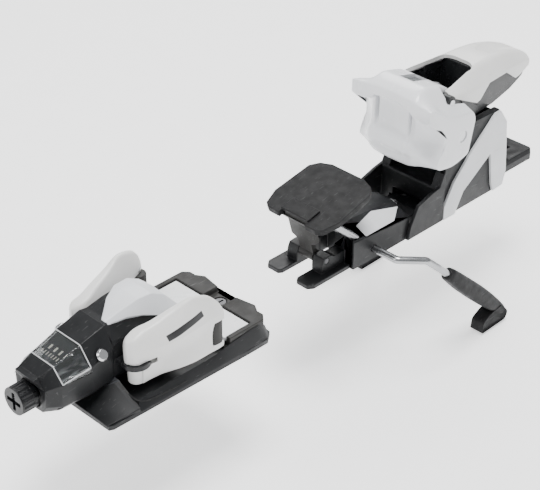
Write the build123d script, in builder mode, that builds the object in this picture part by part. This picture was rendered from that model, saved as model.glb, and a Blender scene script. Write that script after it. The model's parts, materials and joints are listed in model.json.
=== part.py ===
"""Alpine ski binding: a toe unit and a heel unit with a brake, as they stand on one ski.

Frame, in millimetres: origin on the ski's top surface at the centre of the toe screw pattern,
+X towards the ski's tail, +Y towards the skier's right, +Z up off the ski.
The toe unit's nose is at -X, the heel unit's track ends at +X, and the boot stands between them.
"""

import os
from math import cos, radians, sin

from build123d import *

# ---- driving dimensions --------------------------------------------------------------------
SEAT = 0.02  # play left between pieces that are fixed to each other

# toe unit
BASE_FRONT, BASE_REAR = -65.0, 74.6
WEDGE_TOP = 16.0
WEDGE_END = -42.0
TOE_HOLE_X, TOE_HOLE_Y = 22.0, 20.0
SCREW_HOLE_R = 2.8
SCREW_HEAD_R = 5.0
DECK_TOP = 12.0
HOUSING_REAR = 8.0
HOUSING_HALF = 17.3
PIVOT_X, PIVOT_Y, HUB_R = -31.0, 26.0, 7.5
WING_LOW = 13.0
ROLLER_X, ROLLER_Y, ROLLER_R = 24.5, 36.0, 5.5
ROLLER_LOW, ROLLER_HIGH = 20.0, 37.0
AFD_PLATE_LOW, AFD_PLATE_TOP = 12.8, 16.0
AFD_X = 57.0
AFD_HALF = 35.0

# heel unit
TRACK_REAR = 383.0
TRACK_HALF, TRACK_TOP = 17.0, 8.5
HEEL_HOLE_X, HEEL_HOLE_Y = (262.0, 352.0), 10.5
PRONG_TIP = 128.0
BLOCK_FRONT, BLOCK_REAR = 168.0, 228.0
BLOCK_HALF = 25.0
CARRIAGE_REAR = 336.0
CUP_PIVOT_X, CUP_PIVOT_Z = 267.0, 72.0
CUP_PIN_R = 4.2
CHEEK_OUT = 37.0
ARM_X, ARM_Z = 190.0, 8.0
WIRE_R = 2.8
ARM_SPREAD = 61.0
LINK_X, LINK_Z = 150.0, 12.0
PAD_PIN_X, PAD_PIN_Z = 141.0, 44.0
PAD_TILT = 12.8

os.makedirs("parts", exist_ok=True)


# ---- helpers -------------------------------------------------------------------------------
def save(builder, name):
    """Label a finished piece and write it as its own STEP file."""
    builder.part.label = name
    export_step(builder.part, f"parts/{name}.step")
    return builder.part


def plan(low):
    """A sketch plane seen from above, at height low; its outline points are (x, y)."""
    return Plane.XY.offset(low)


def side(right):
    """A sketch plane seen from the skier's left, whose face lies at y = right and extrudes towards -Y."""
    return Plane.XZ.offset(-right)


def cross(x):
    """A sketch plane square to the ski at x; its outline points are (y, z) and it extrudes to +X."""
    return Plane.YZ.offset(x)


def slab(plane, points, depth, mode=Mode.ADD, taper=0.0):
    """Extrude one closed outline of straight edges into the part that is being built."""
    with BuildSketch(plane) as outline:
        with BuildLine():
            Polyline(*points, close=True)
        make_face()
    extrude(outline.sketch, amount=depth, taper=taper, mode=mode)


def rod(plane, x, y, radius, depth, mode=Mode.ADD, taper=0.0):
    """Extrude one round of the given radius, centred at (x, y) of the plane."""
    with BuildSketch(plane) as disc:
        with Locations((x, y)):
            Circle(radius)
    extrude(disc.sketch, amount=depth, taper=taper, mode=mode)


def both(points):
    """Close a half outline, given from one end to the other on the + side, with its mirror image."""
    return [*points, *[(x, -y) for x, y in reversed(points)]]


def bar(x0, x1, y0, y1, z0, z1, mode=Mode.ADD):
    """A straight block between two corners."""
    with Locations(((x0 + x1) / 2, (y0 + y1) / 2, (z0 + z1) / 2)):
        Box(x1 - x0, y1 - y0, z1 - z0, mode=mode)


def face_at(plane, points):
    """One closed outline of straight edges on a plane, as a sketch."""
    with BuildSketch(plane) as face:
        with BuildLine():
            Polyline(*points, close=True)
        make_face()
    return face.sketch


def hull(*sections, mode=Mode.ADD):
    """Flat-sided body through cross-sections (x, half outline in y and z), mirrored about y = 0."""
    faces = [face_at(cross(x), [*half, *[(-y, z) for y, z in reversed(half)]]) for x, half in sections]
    loft(faces, ruled=True, mode=mode)


def coil(centre_x, centre_y, centre_z, radius, wire, pitch, length):
    """A compression spring along X that starts at centre_x."""
    with BuildLine() as path:
        Helix(pitch, length, radius, center=(centre_x, centre_y, centre_z), direction=(1, 0, 0))
    with BuildSketch(Plane(path.line @ 0, z_dir=path.line % 0)) as ring:
        Circle(wire)
    sweep(ring.sketch, path=path.line, is_frenet=True)


# ---- toe unit: base, inner carrier and slide plate -------------------------------------------
with BuildPart() as toe_base:
    slab(plan(0), both([(BASE_FRONT, 38.5), (BASE_FRONT + 3, 40), (50, 43.4), (66, 43.4), (73, 38),
                        (BASE_REAR, 24)]), 3.2)
    slab(plan(3.2), both([(BASE_FRONT, 38.5), (BASE_FRONT + 3, 40), (50, 43.4), (66, 43.4), (73, 38),
                          (BASE_REAR, 24)]), 2.6, taper=22)
    # the prow: two slopes that climb rearwards and outwards from the middle of the front edge
    hull((BASE_FRONT + 1.2, [(38, 0.5), (38, 3.4), (2.5, 4.2), (1.2, 4.3)]),
         (WEDGE_END, [(40.5, 0.5), (40.5, 4.4), (19.5, WEDGE_TOP), (18, WEDGE_TOP)]))
    rod(cross(-66), 0, 23.4, 12.2, 30, mode=Mode.SUBTRACT)
    # the shallow seat that the inner carrier drops into
    slab(plan(3.8), both([(-41.2, 38.4), (33.2, 40.2), (33.2, 0.1)]), 3, mode=Mode.SUBTRACT)
    # finger slots along the rear flanks
    for hand in (1, -1):
        for x in (38, 52):
            bar(x, x + 9, min(hand * 38.8, hand * 41), max(hand * 38.8, hand * 41), 2.4, 7,
                mode=Mode.SUBTRACT)
    with Locations(*[(x, y, 0) for x in (-TOE_HOLE_X, TOE_HOLE_X) for y in (-TOE_HOLE_Y, TOE_HOLE_Y)]):
        Hole(SCREW_HOLE_R)
save(toe_base, "toe_base")

with BuildPart() as toe_carrier:
    slab(plan(3.82), both([(-40.9, 38.1), (32.9, 39.9), (32.9, 0.1)]), 4.4)
    slab(plan(8.22), both([(-40.9, 38.1), (32.9, 39.9), (32.9, 0.1)]), DECK_TOP - 8.22, taper=14)
    for x in (-TOE_HOLE_X, TOE_HOLE_X):
        for y in (-TOE_HOLE_Y, TOE_HOLE_Y):
            rod(plan(3), x, y, SCREW_HOLE_R, 12, mode=Mode.SUBTRACT)
            rod(plan(8.4), x, y, SCREW_HEAD_R + 0.3, 6, mode=Mode.SUBTRACT)
save(toe_carrier, "toe_carrier")

with BuildPart() as afd_frame:
    # side walls, a raised rear threshold and a deck under the sliding plate
    for hand in (1, -1):
        slab(plan(5.82), [(36, hand * 35.6), (36, hand * 39.4), (66, hand * 39.4), (70, hand * 35),
                          (70, hand * 30), (58.2, hand * 35.6)], 11.4)
    slab(plan(5.82), both([(57.6, 36), (66, 36), (74.6, 23)]), 7.2)
    for hand in (1, -1):
        slab(plan(13.02), [(57.6, hand * 9), (57.6, hand * 36), (66, hand * 36), (73.6, hand * 24),
                           (71, hand * 9)], 4.2)
    bar(34.2, 57.6, -35.6, 35.6, 5.82, 9.6)
    rod(plan(5), 64.5, 0, 2.6, 12, mode=Mode.SUBTRACT)
    rod(plan(9.6), 64.5, 0, 4.4, 6, mode=Mode.SUBTRACT)
save(afd_frame, "afd_frame")

with BuildPart() as afd_plate:
    slab(plan(AFD_PLATE_LOW), both([(10, 24), (33.6, 26), (35.4, AFD_HALF), (AFD_X, AFD_HALF), (AFD_X, 6)]),
         AFD_PLATE_TOP - AFD_PLATE_LOW)
    bar(38, 52, -15, 15, 10.1, AFD_PLATE_LOW)
    for y in (-TOE_HOLE_Y, TOE_HOLE_Y):
        rod(plan(12), TOE_HOLE_X, y, SCREW_HEAD_R + 0.3, 6, mode=Mode.SUBTRACT)
save(afd_plate, "afd_plate")

with BuildPart() as afd_screw:
    rod(plan(6), 64.5, 0, 2.5, 4)
    rod(plan(9.7), 64.5, 0, 4.1, 2.6)
    with BuildSketch(plan(11.2)):
        with Locations((64.5, 0)):
            SlotOverall(5.6, 1.2)
    extrude(amount=2, mode=Mode.SUBTRACT)
save(afd_screw, "afd_screw")


# ---- toe unit: housing -----------------------------------------------------------------------
def nose(inset=0.0):
    """The faceted nose of the toe housing; inset draws the same skin further in."""
    hull((-92, [(10, 13.5 + inset), (14 - inset, 19), (14.5 - inset, 31.5), (9 - inset / 2, 39 - inset)]),
         (-82, [(13, 11 + inset), (18.4 - inset, 17), (18.8 - inset, 33.2),
                (10.4 - inset / 2, 42.4 - inset)]),
         (-61, [(14, 10.5 + inset), (20.6 - inset, 17), (20.9 - inset, 36.4),
                       (11.4 - inset / 2, 48.6 - inset)]),
         (-42, [(14, 10.5 + inset), (17.8 - inset, 17), (19.4 - inset, 40),
                (11.8 - inset / 2, 53.6 - inset)]))


SCREW_Z = 23.4  # height of the release screw's axis
WINDOW = (-82.0, -61.0)

with BuildPart() as toe_housing:
    nose()
    hull((-42, [(14, 10.5), (HOUSING_HALF, 17), (HOUSING_HALF, 43.6), (11.8, 51.6)]),
         (HOUSING_REAR, [(14, 10.5), (HOUSING_HALF, 17), (HOUSING_HALF, 41), (11, 49.6)]))
    # swept lip above the nose
    hull((-95.6, [(7, 36.2), (9, 37.6), (9, 38.2), (8.4, 38.6)]),
         (-91.9, [(9.5, 31), (13.9, 31.8), (12, 35), (9, 39)]))
    # clear the base's prow and the carrier
    slab(side(60), [(-66, 0), (-66, 5.2), (WEDGE_END + 0.1, 16.4), (WEDGE_END + 0.1, 12.05), (12, 12.05),
                    (12, 0)], 120, mode=Mode.SUBTRACT)
    # ears that carry the wing pins
    for hand in (1, -1):
        with BuildSketch(plan(26.5)):
            with BuildLine():
                Polyline((-40.5, hand * 15), (-38.4, hand * 26), (-36, hand * 31), (-27, hand * 31.5),
                         (-20.5, hand * 15), close=True)
            make_face()
            with Locations((PIVOT_X, hand * PIVOT_Y)):
                Circle(3.0, mode=Mode.SUBTRACT)
        extrude(amount=3.2)
    # window opening, indicator chamber, screw passages and spring bore
    bar(WINDOW[0], WINDOW[1], -30, 30, 32.5, 60, mode=Mode.SUBTRACT)
    bar(-84, -61.5, -15.5, 15.5, 14, 33, mode=Mode.SUBTRACT)
    rod(cross(-97), 0, SCREW_Z, 4.5, 45, mode=Mode.SUBTRACT)
    rod(cross(-58), 0, SCREW_Z, 10.2, 56, mode=Mode.SUBTRACT)
    rod(cross(-97), 0, SCREW_Z, 9.9, 8, mode=Mode.SUBTRACT)
    # seats of the dome rivets
    for hand in (1, -1):
        with BuildSketch(Plane(origin=(-52, hand * 19.2, 40), z_dir=(0, hand * 0.8, 0.6))):
            Circle(2.0)
        extrude(amount=-5, mode=Mode.SUBTRACT)
save(toe_housing, "toe_housing")

with BuildPart() as toe_window:
    nose()
    bar(WINDOW[0] + SEAT, WINDOW[1] - SEAT, -30, 30, 32.5 + SEAT, 60, mode=Mode.INTERSECT)
    with BuildPart(mode=Mode.SUBTRACT):
        nose(2.0)
save(toe_window, "toe_window")

with BuildPart() as toe_rivets:
    for hand in (1, -1):
        tilt = Plane(origin=(-52, hand * 19.2, 40), z_dir=(0, hand * 0.8, 0.6))
        with BuildSketch(tilt):
            Circle(1.96)
        extrude(amount=-4)
        with BuildSketch(tilt.offset(0.9)):
            Circle(4.0)
        extrude(amount=0.7)
        with BuildSketch(tilt.offset(1.6)):
            Circle(4.0)
        extrude(amount=1.3, taper=38)
        with BuildSketch(tilt):
            Circle(1.96)
        extrude(amount=1.5)
save(toe_rivets, "toe_rivets")

with BuildPart() as toe_top_cap:
    # a faceted bonnet over the rear of the housing, its nose high and its tail turned down
    hull((-41, [(6, 52.9), (8, 53.4), (7, 56.4), (4, 57.4)]),
         (-24, [(15.5, 51), (21.5, 53), (12.5, 58.2), (6, 59)]),
         (-8, [(16.5, 50.6), (23, 51.4), (14, 57.4), (6, 58.6)]),
         (4, [(17, 46), (22.5, 46.4), (15, 53.4), (6, 54.6)]),
         (19, [(16, 33), (20, 33.4), (13.5, 38), (6, 38.6)]))
    # hollow underneath, where the housing's roof passes
    hull((-41.2, [(13, 20), (17.6, 30), (17.6, 43.8), (12, 51.9)]),
         (HOUSING_REAR + 0.2, [(13, 20), (17.6, 30), (17.6, 41.2), (11.3, 49.9)]),
         mode=Mode.SUBTRACT)
    nose_clear = [(-60, 48.9), (-60, 20), (-41.9, 20), (-41.9, 53.8)]
    slab(side(30), nose_clear, 60, mode=Mode.SUBTRACT)
save(toe_top_cap, "toe_top_cap")

with BuildPart() as toe_spring:
    coil(-56, 0, SCREW_Z, 7.6, 1.5, 5.0, 32)
save(toe_spring, "toe_spring")

with BuildPart() as toe_piston:
    rod(cross(-20), 0, SCREW_Z, 10.1, 18)
    rod(cross(-20.1), 0, SCREW_Z, 8.6, 14, mode=Mode.SUBTRACT)
save(toe_piston, "toe_piston")

with BuildPart() as toe_adjust_screw:
    rod(cross(-105), 0, SCREW_Z, 9.4, 12.4)
    rod(cross(-93), 0, SCREW_Z, 4.3, 33)
    # cross slot in the face and grip hollows around the rim
    for wide, tall in ((12.5, 2.4), (2.4, 12.5)):
        bar(-105.5, -102.8, -wide / 2, wide / 2, SCREW_Z - tall / 2, SCREW_Z + tall / 2, mode=Mode.SUBTRACT)
    with BuildSketch(cross(-103.8)):
        with Locations((0, SCREW_Z)):
            with PolarLocations(10.6, 12):
                Circle(1.9)
    extrude(amount=8, mode=Mode.SUBTRACT)
save(toe_adjust_screw, "toe_adjust_screw")

with BuildPart() as toe_indicator:
    bar(-75, -69, -8.5, 8.5, 15, 32.2)
    bar(-74.2, -69.8, -6.5, 6.5, 32.2, 40.5)
    rod(cross(-76), 0, SCREW_Z, 4.35, 8, mode=Mode.SUBTRACT)
save(toe_indicator, "toe_indicator")


# ---- toe unit: wings and rollers -------------------------------------------------------------
def wing(hand):
    """One side lever of the toe: a hub on the pin and a faceted blade that runs back beside the boot."""
    def blade(*ribs):
        loft([face_at(cross(x), [(hand * y, z) for y, z in points]) for x, points in ribs], ruled=True)

    waist = (-5, [(25, WING_LOW + 1.5), (37, WING_LOW + 1), (41, 41), (35, 56.6), (28.6, 56.6), (25.4, 40)])
    blade((-29, [(20.5, WING_LOW + 1), (30, WING_LOW + 1), (33.2, 38), (29.6, 49.4), (22.6, 49.4),
                 (19.8, 40)]),
          (-18, [(21, WING_LOW + 1), (33, WING_LOW + 1), (38, 40), (33, 52.4), (26, 52.4), (21.6, 40)]),
          waist)
    blade(waist,
          (8, [(31.4, 17.9), (40.2, WING_LOW + 1.5), (42, 42), (38.6, 60.6), (33, 60.6), (30.4, 42)]),
          (19, [(33.2, 17.9), (40.6, WING_LOW + 1.5), (42, 42.6), (39.6, 57), (34, 57), (32.8, 42)]),
          (30, [(36.9, 17.9), (40.8, WING_LOW + 2), (41.4, 41), (40.4, 45.4), (38, 45.4), (37, 40)]))
    # hub and its front tip
    rod(plan(WING_LOW + 1), PIVOT_X, hand * PIVOT_Y, HUB_R, 29.6)
    rod(plan(43.6), PIVOT_X, hand * PIVOT_Y, HUB_R, 4.6, taper=32)
    # slot for the ear, pin bore and roller fork
    rod(plan(26.2), PIVOT_X, hand * PIVOT_Y, 13.6, 3.9, mode=Mode.SUBTRACT)
    rod(plan(WING_LOW), PIVOT_X, hand * PIVOT_Y, 3.06, 30, mode=Mode.SUBTRACT)
    slot = ROLLER_HIGH - ROLLER_LOW + 0.6
    rod(plan(ROLLER_LOW - 0.3), ROLLER_X, hand * ROLLER_Y, ROLLER_R + 1.2, slot, mode=Mode.SUBTRACT)
    bar(ROLLER_X, 32, min(hand * 28, hand * 44), max(hand * 28, hand * 44), ROLLER_LOW - 0.3,
        ROLLER_HIGH + 0.3, mode=Mode.SUBTRACT)
    rod(plan(17), ROLLER_X + 0.6, hand * ROLLER_Y, 1.6, 24, mode=Mode.SUBTRACT)


def roller(hand):
    """One release roller, turning on its pin between the wing's fork."""
    rod(plan(ROLLER_LOW), ROLLER_X + 0.6, hand * ROLLER_Y, ROLLER_R, ROLLER_HIGH - ROLLER_LOW)
    rod(plan(ROLLER_LOW - 1), ROLLER_X + 0.6, hand * ROLLER_Y, 1.64, 20, mode=Mode.SUBTRACT)


with BuildPart() as wing_left:
    wing(-1)
save(wing_left, "wing_left")
with BuildPart() as wing_right:
    wing(1)
save(wing_right, "wing_right")
with BuildPart() as roller_left:
    roller(-1)
save(roller_left, "roller_left")
with BuildPart() as roller_right:
    roller(1)
save(roller_right, "roller_right")
for hand, name in ((-1, "roller_pin_left"), (1, "roller_pin_right")):
    with BuildPart() as roller_pin:
        rod(plan(17.1), ROLLER_X + 0.6, hand * ROLLER_Y, 1.58, 23.7)
    save(roller_pin, name)
with BuildPart() as wing_pins:
    for hand in (1, -1):
        rod(plan(DECK_TOP + 0.4), PIVOT_X, hand * PIVOT_Y, 2.99, 29)
save(wing_pins, "wing_pins")


# ---- heel unit: track and brake base ---------------------------------------------------------
with BuildPart() as heel_track:
    slab(cross(246), [(-TRACK_HALF, 0), (-TRACK_HALF, 5.4), (-TRACK_HALF + 1.2, TRACK_TOP),
                      (TRACK_HALF - 1.2, TRACK_TOP), (TRACK_HALF, 5.4), (TRACK_HALF, 0)], TRACK_REAR - 246)
    for hand in (1, -1):
        slab(plan(-1), [(TRACK_REAR - 3, hand * 18), (TRACK_REAR + 1, hand * 18),
                        (TRACK_REAR + 1, hand * 13)], 12, mode=Mode.SUBTRACT)
    for x in HEEL_HOLE_X:
        for y in (-HEEL_HOLE_Y, HEEL_HOLE_Y):
            rod(plan(-1), x, y, SCREW_HOLE_R, 12, mode=Mode.SUBTRACT)
            rod(plan(5.6), x, y, SCREW_HEAD_R - 0.2, 6, mode=Mode.SUBTRACT)
    # the rack that the length screw climbs along
    bar(282, 372, -3.4, 3.4, 5.6, 10, mode=Mode.SUBTRACT)
    tooth = 284.0
    while tooth < 370:
        bar(tooth, tooth + 1, -3.8, 3.8, 5.2, 7)
        tooth += 2
save(heel_track, "heel_track")

def inset_plate(hand, low, high, grow, mode=Mode.ADD):
    """Thin plate that lies on one shoulder of the brake block, from low to high about its surface."""
    with BuildPart(mode=Mode.PRIVATE) as plate:
        quads = [face_at(cross(x), [(hand * 8, top + low), (hand * 8, top + high), (hand * 25, edge + high),
                                    (hand * 25, edge + low)])
                 for x, top, edge in ((BLOCK_FRONT + 0.2, 29.4, 22.2), (BLOCK_REAR, 24.2, 17.2))]
        loft(quads, ruled=True)
        slab(plan(0), [(181.6 - grow, hand * (14.4 - grow)), (203, hand * (9 - grow)),
                       (226.4 + grow, hand * (14 - grow)), (213.4, hand * (22.4 + grow)),
                       (181.6 - grow, hand * (24.2 + grow))], 60, mode=Mode.INTERSECT)
    add(plate.part, mode=mode)


with BuildPart() as brake_base:
    # two flat tongues joined at the rear
    for hand in (1, -1):
        slab(plan(0), [(PRONG_TIP, hand * 9), (PRONG_TIP, hand * 19), (132, hand * 22),
                       (BLOCK_FRONT, hand * 22), (BLOCK_FRONT, hand * 7), (131, hand * 7)], 3.6)
        # the raised rails that hold the link pin
        slab(side(hand * 11.9 + 4.9), [(145, 3), (145, 10), (147, 15), (154, 15.4), (158, 13), (176.2, 13),
                                       (176.2, 3)], 9.8)
    bar(176, BLOCK_FRONT + 20, -8, 8, 0, 13)
    # the block that carries the brake arms, its shoulders sloping outwards
    hull((BLOCK_FRONT + 0.2, [(BLOCK_HALF, 0), (BLOCK_HALF, 22.2), (8, 29.4)]),
         (BLOCK_REAR, [(BLOCK_HALF, 0), (BLOCK_HALF, 17.2), (8, 24.2)]))
    slab(plan(0), both([(227, 20), (240, 20), (243, 16)]), 13.4)
    # the open throat between the tongues, and the channels of the two cranks
    bar(BLOCK_FRONT - 1, 176, -6.9, 6.9, -1, 40, mode=Mode.SUBTRACT)
    for hand in (1, -1):
        low, high = sorted((hand * 16.9, hand * 23.1))
        slab(side(high), [(160, 3.6), (160, 60), (168.4, 60), (168.4, 32.4), (181, 20.8), (194.2, 12.2),
                          (194.2, 4.6)], high - low, mode=Mode.SUBTRACT)
    rod(side(BLOCK_HALF + 1), ARM_X, ARM_Z, WIRE_R + 0.06, 10, mode=Mode.SUBTRACT)
    rod(side(-15), ARM_X, ARM_Z, WIRE_R + 0.06, 12, mode=Mode.SUBTRACT)
    rod(side(20), LINK_X, LINK_Z, 2.02, 40, mode=Mode.SUBTRACT)
    # relief along the front crest, where the folding pad sweeps past
    bar(BLOCK_FRONT - 1, 170.4, -17, 17, 25, 40, mode=Mode.SUBTRACT)
    # seats for the white insets
    for hand in (1, -1):
        inset_plate(hand, -1.2, 1.4, 0.1, mode=Mode.SUBTRACT)
    rod(plan(5), 235, 0, 3.05, 12, mode=Mode.SUBTRACT)
    rod(plan(5), 238, 16, 1.55, 12, mode=Mode.SUBTRACT)
save(brake_base, "brake_base")

with BuildPart() as brake_base_insets:
    for hand in (1, -1):
        inset_plate(hand, -1.1, 0.3, 0.0)
save(brake_base_insets, "brake_base_insets")

with BuildPart() as base_screws:
    rod(plan(6), 235, 0, 3.0, 7.6)
    rod(plan(13.45), 235, 0, 5.0, 2.4)
    for wide, tall in ((6.4, 1.4), (1.4, 6.4)):
        bar(235 - wide / 2, 235 + wide / 2, -tall / 2, tall / 2, 14.6, 17, mode=Mode.SUBTRACT)
    rod(plan(6), 238, 16, 1.5, 7.6)
    rod(plan(13.45), 238, 16, 2.6, 1.2)
save(base_screws, "base_screws")


# ---- heel unit: carriage ---------------------------------------------------------------------
LUG_IN, LUG_OUT = 20.0, 29.2

with BuildPart() as heel_carriage:
    slab(side(26.3), [(252, 0.5), (252, 28), (256, 31), (262.4, 46), (276, 56), (288, 68), (292, 70),
                      (322, 69.5), (331, 58), (334, 30), (CARRIAGE_REAR, 16), (334, 0.5)], 52.6)
    for hand in (1, -1):
        low, high = sorted((hand * 25.4, hand * 28.0))
        slab(side(high), [(223, 0.5), (225.5, 11), (233, 25), (246, 29), (256, 31), (262, 44), (262, 0.5)],
             high - low)
        low, high = sorted((hand * LUG_IN, hand * LUG_OUT))
        slab(side(high), [(262.6, 44), (259, 62), (262, 66), (277, 66), (284, 54), (276, 44)], high - low)
        rod(side(high), CUP_PIVOT_X, CUP_PIVOT_Z, 10.6, high - low)
    # room for the swinging core, for the track and for the brake base
    rod(side(LUG_IN), CUP_PIVOT_X, CUP_PIVOT_Z, 43.6, 2 * LUG_IN, mode=Mode.SUBTRACT)
    bar(240, 292, -LUG_IN, LUG_IN, 46, 90, mode=Mode.SUBTRACT)
    bar(255, 263.2, -28.4, 28.4, 40.4, 50, mode=Mode.SUBTRACT)
    bar(200, 345, -TRACK_HALF - 0.3, TRACK_HALF + 0.3, -1, TRACK_TOP + 0.3, mode=Mode.SUBTRACT)
    bar(200, 253.6, -25.4, 25.4, -1, 90, mode=Mode.SUBTRACT)
    bar(253, 325, -14, 14, 5, 15.2, mode=Mode.SUBTRACT)
    # length screw passage and the hollow above it
    rod(cross(286), 0, 17.6, 4.2, 60, mode=Mode.SUBTRACT)
    rod(cross(330.5), 0, 17.6, 6.3, 10, mode=Mode.SUBTRACT)
    bar(300, 326, -21, 21, 28, 80, mode=Mode.SUBTRACT)
    rod(side(40), CUP_PIVOT_X, CUP_PIVOT_Z, CUP_PIN_R + 0.02, 80, mode=Mode.SUBTRACT)
save(heel_carriage, "heel_carriage")

for hand, name in ((-1, "side_trim_left"), (1, "side_trim_right")):
    with BuildPart() as side_trim:
        low, high = sorted((hand * 26.32, hand * 28.4))
        slab(side(high), [(262.3, 0.6), (262.3, 12), (272, 29), (288, 45), (316, 68.6), (322, 68.6),
                          (330, 57), (332.6, 30), (334, 14), (331, 2.4), (319.6, 1.6), (317.4, 8), (313, 36),
                          (283.6, 16.5), (275, 0.6)], high - low)
    save(side_trim, name)

with BuildPart() as length_screw:
    rod(cross(288), 0, 17.6, 4.15, 42)
    rod(cross(331), 0, 17.6, 6.0, 4.2)
    bar(333.4, 340, -0.8, 0.8, 13, 22, mode=Mode.SUBTRACT)
    bar(333.4, 340, -4.6, 4.6, 16.8, 18.4, mode=Mode.SUBTRACT)
    rod(cross(329), 0, 17.6, 4.15, 3)
save(length_screw, "length_screw")

with BuildPart() as heel_pivot_pin:
    rod(side(36.2), CUP_PIVOT_X, CUP_PIVOT_Z, CUP_PIN_R, 72.4)
save(heel_pivot_pin, "heel_pivot_pin")


# ---- heel unit: cup --------------------------------------------------------------------------
BORE_Z, BORE_R = 87.6, 9.2  # spring bore above the pivot
LEVER_X, LEVER_Z = 261.0, 98.0  # lever's pivot in the cup

with BuildPart() as heel_housing:
    # the middle: a face for the boot's heel, a chin below and a brow above
    slab(side(19.6), [(231, 53), (228, 57), (231.5, 67), (232, 90), (229, 94.4), (229, 106), (243, 113),
                      (262, 108), (276, 98), (281, 82), (275, 55), (258, 50.5)], 39.2)
    slab(side(CHEEK_OUT), [(240, 56), (235, 62), (234, 90), (229, 94.4), (229, 106), (243, 113), (261, 107),
                           (275, 96), (281, 81), (276, 54), (258, 51)], 2 * CHEEK_OUT)
    # the sides lean in towards the roof
    for hand in (1, -1):
        slab(cross(240), [(hand * 38, 91), (hand * 38, 120), (hand * 14, 120), (hand * 19, 112.6)], 50,
             mode=Mode.SUBTRACT)
    # slots for the carriage lugs and the lever arms
    for hand in (1, -1):
        low, high = sorted((hand * 19.6, hand * 29.5))
        slab(side(high), [(243, 40), (242.2, 57.4), (238.6, 66), (238.4, 78), (242, 90), (249, 94),
                          (252, 103.6), (252, 120), (292, 120), (292, 40)], high - low, mode=Mode.SUBTRACT)
    # hollow of the boot's heel
    rod(plan(62), 190, 0, 44.4, 32, mode=Mode.SUBTRACT)
    # spring bore, scale slot and pin bores
    rod(cross(243), 0, BORE_Z, BORE_R, 60, mode=Mode.SUBTRACT)
    bar(244, 262, -6.2, 6.2, 90, 120, mode=Mode.SUBTRACT)
    bar(244, 276, -6.2, 6.2, 90, 99.6, mode=Mode.SUBTRACT)
    rod(side(40), CUP_PIVOT_X, CUP_PIVOT_Z, CUP_PIN_R + 0.04, 80, mode=Mode.SUBTRACT)
    rod(side(30.5), LEVER_X, LEVER_Z, 2.52, 61, mode=Mode.SUBTRACT)
save(heel_housing, "heel_housing")

with BuildPart() as heel_scale_window:
    slab(side(6.1), [(244.1, 109.6), (244.1, 111.4), (261.9, 105.6), (261.9, 103.8)], 12.2)
save(heel_scale_window, "heel_scale_window")

with BuildPart() as heel_spring:
    coil(249, 0, BORE_Z, 6.6, 1.3, 4.4, 12)
save(heel_spring, "heel_spring")

with BuildPart() as heel_piston:
    rod(cross(243.3), 0, BORE_Z, BORE_R - 0.08, 3.6)
save(heel_piston, "heel_piston")

with BuildPart() as heel_adjust_screw:
    rod(cross(272), 0, BORE_Z, BORE_R - 0.15, 9)
    rod(cross(247.4), 0, BORE_Z, 3.0, 25)
    bar(279.4, 283, -6, 6, BORE_Z - 1, BORE_Z + 1, mode=Mode.SUBTRACT)
    bar(279.4, 283, -1, 1, BORE_Z - 6, BORE_Z + 6, mode=Mode.SUBTRACT)
save(heel_adjust_screw, "heel_adjust_screw")

with BuildPart() as heel_indicator:
    bar(265.4, 268.6, -5, 5, 82, 93)
    bar(254.6, 268.6, -3.6, 3.6, 96, 98)
    bar(265.4, 268.6, -3.6, 3.6, 92, 98)
    rod(cross(260), 0, BORE_Z, 3.06, 12, mode=Mode.SUBTRACT)
save(heel_indicator, "heel_indicator")


# ---- heel unit: lever ------------------------------------------------------------------------
def lever_shell(inset, drop):
    """The lever's crowned outline; inset narrows it and drop lowers its roof."""
    ribs = [(264, 27.5, 98.5, 100.5, 20, 104), (285, 26.5, 88, 97, 17, 106), (300, 24.6, 83, 94.2, 15, 107),
            (330, 21.2, 83, 93.6, 13.4, 106), (352, 18.6, 82, 92.4, 12, 101.4),
            (367, 16.8, 85, 90.4, 11.4, 95.6), (371.5, 14, 87, 89, 10.4, 92)]
    hull(*[(x - inset * (x > 360), [(edge - inset, low - 12 * (inset > 0)), (edge - inset, shoulder - drop),
                                    (crown_half - inset / 2, crown - drop)])
           for x, edge, low, shoulder, crown_half, crown in ribs])


with BuildPart() as lever_cover:
    lever_shell(0, 0)
    # lower edge, notched where the side slot shows the black body
    slab(side(40), [(250, 130), (263, 101), (268, 98), (288, 87.6), (296, 83.4), (300, 84), (312, 93),
                    (335, 92.4), (350, 81.6), (372, 87), (372, 130)], 80, mode=Mode.INTERSECT)
    with BuildPart(mode=Mode.SUBTRACT):
        lever_shell(2.38, 3.18)
    # opening between the arms and the dish for a pole's tip
    bar(250, 304, -15.5, 15.5, 60, 130, mode=Mode.SUBTRACT)
    bar(250, 285, -19.9, 19.9, 60, 130, mode=Mode.SUBTRACT)
    bar(250, 266.2, -40, 40, 60, 130, mode=Mode.SUBTRACT)
    with Locations((345, 0, 163)):
        Sphere(60, mode=Mode.SUBTRACT)
save(lever_cover, "lever_cover")

with BuildPart() as lever_body:
    lever_shell(2.4, 3.2)
    slab(side(30), [(255, 130), (255, 99.6), (276, 94.6), (286, 80), (286, 75), (292, 72.4), (322, 71.6),
                    (345, 74), (362, 78.5), (369.6, 86.6), (369.6, 130)], 60, mode=Mode.INTERSECT)
    # the arms and their bosses on the lever pin
    for hand in (1, -1):
        rod(side(hand * 24.6 + 4.6), LEVER_X, LEVER_Z, 4.9, 9.2)
        slab(side(hand * 21.6 + 1.6), [(260, 94), (284, 86), (300, 80), (300, 89), (283, 92), (264, 98)], 3.2)
    rod(side(30), LEVER_X, LEVER_Z, 2.56, 60, mode=Mode.SUBTRACT)
    # window for the tool that turns the release screw, and the finger hollow under the tail
    bar(250, 304, -15.8, 15.8, 60, 130, mode=Mode.SUBTRACT)
    bar(250, 285, -19.9, 19.9, 60, 130, mode=Mode.SUBTRACT)
    bar(316, 350, -12, 12, 66, 84, mode=Mode.SUBTRACT)
    add(lever_cover.part, mode=Mode.SUBTRACT)
save(lever_body, "lever_body")

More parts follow.
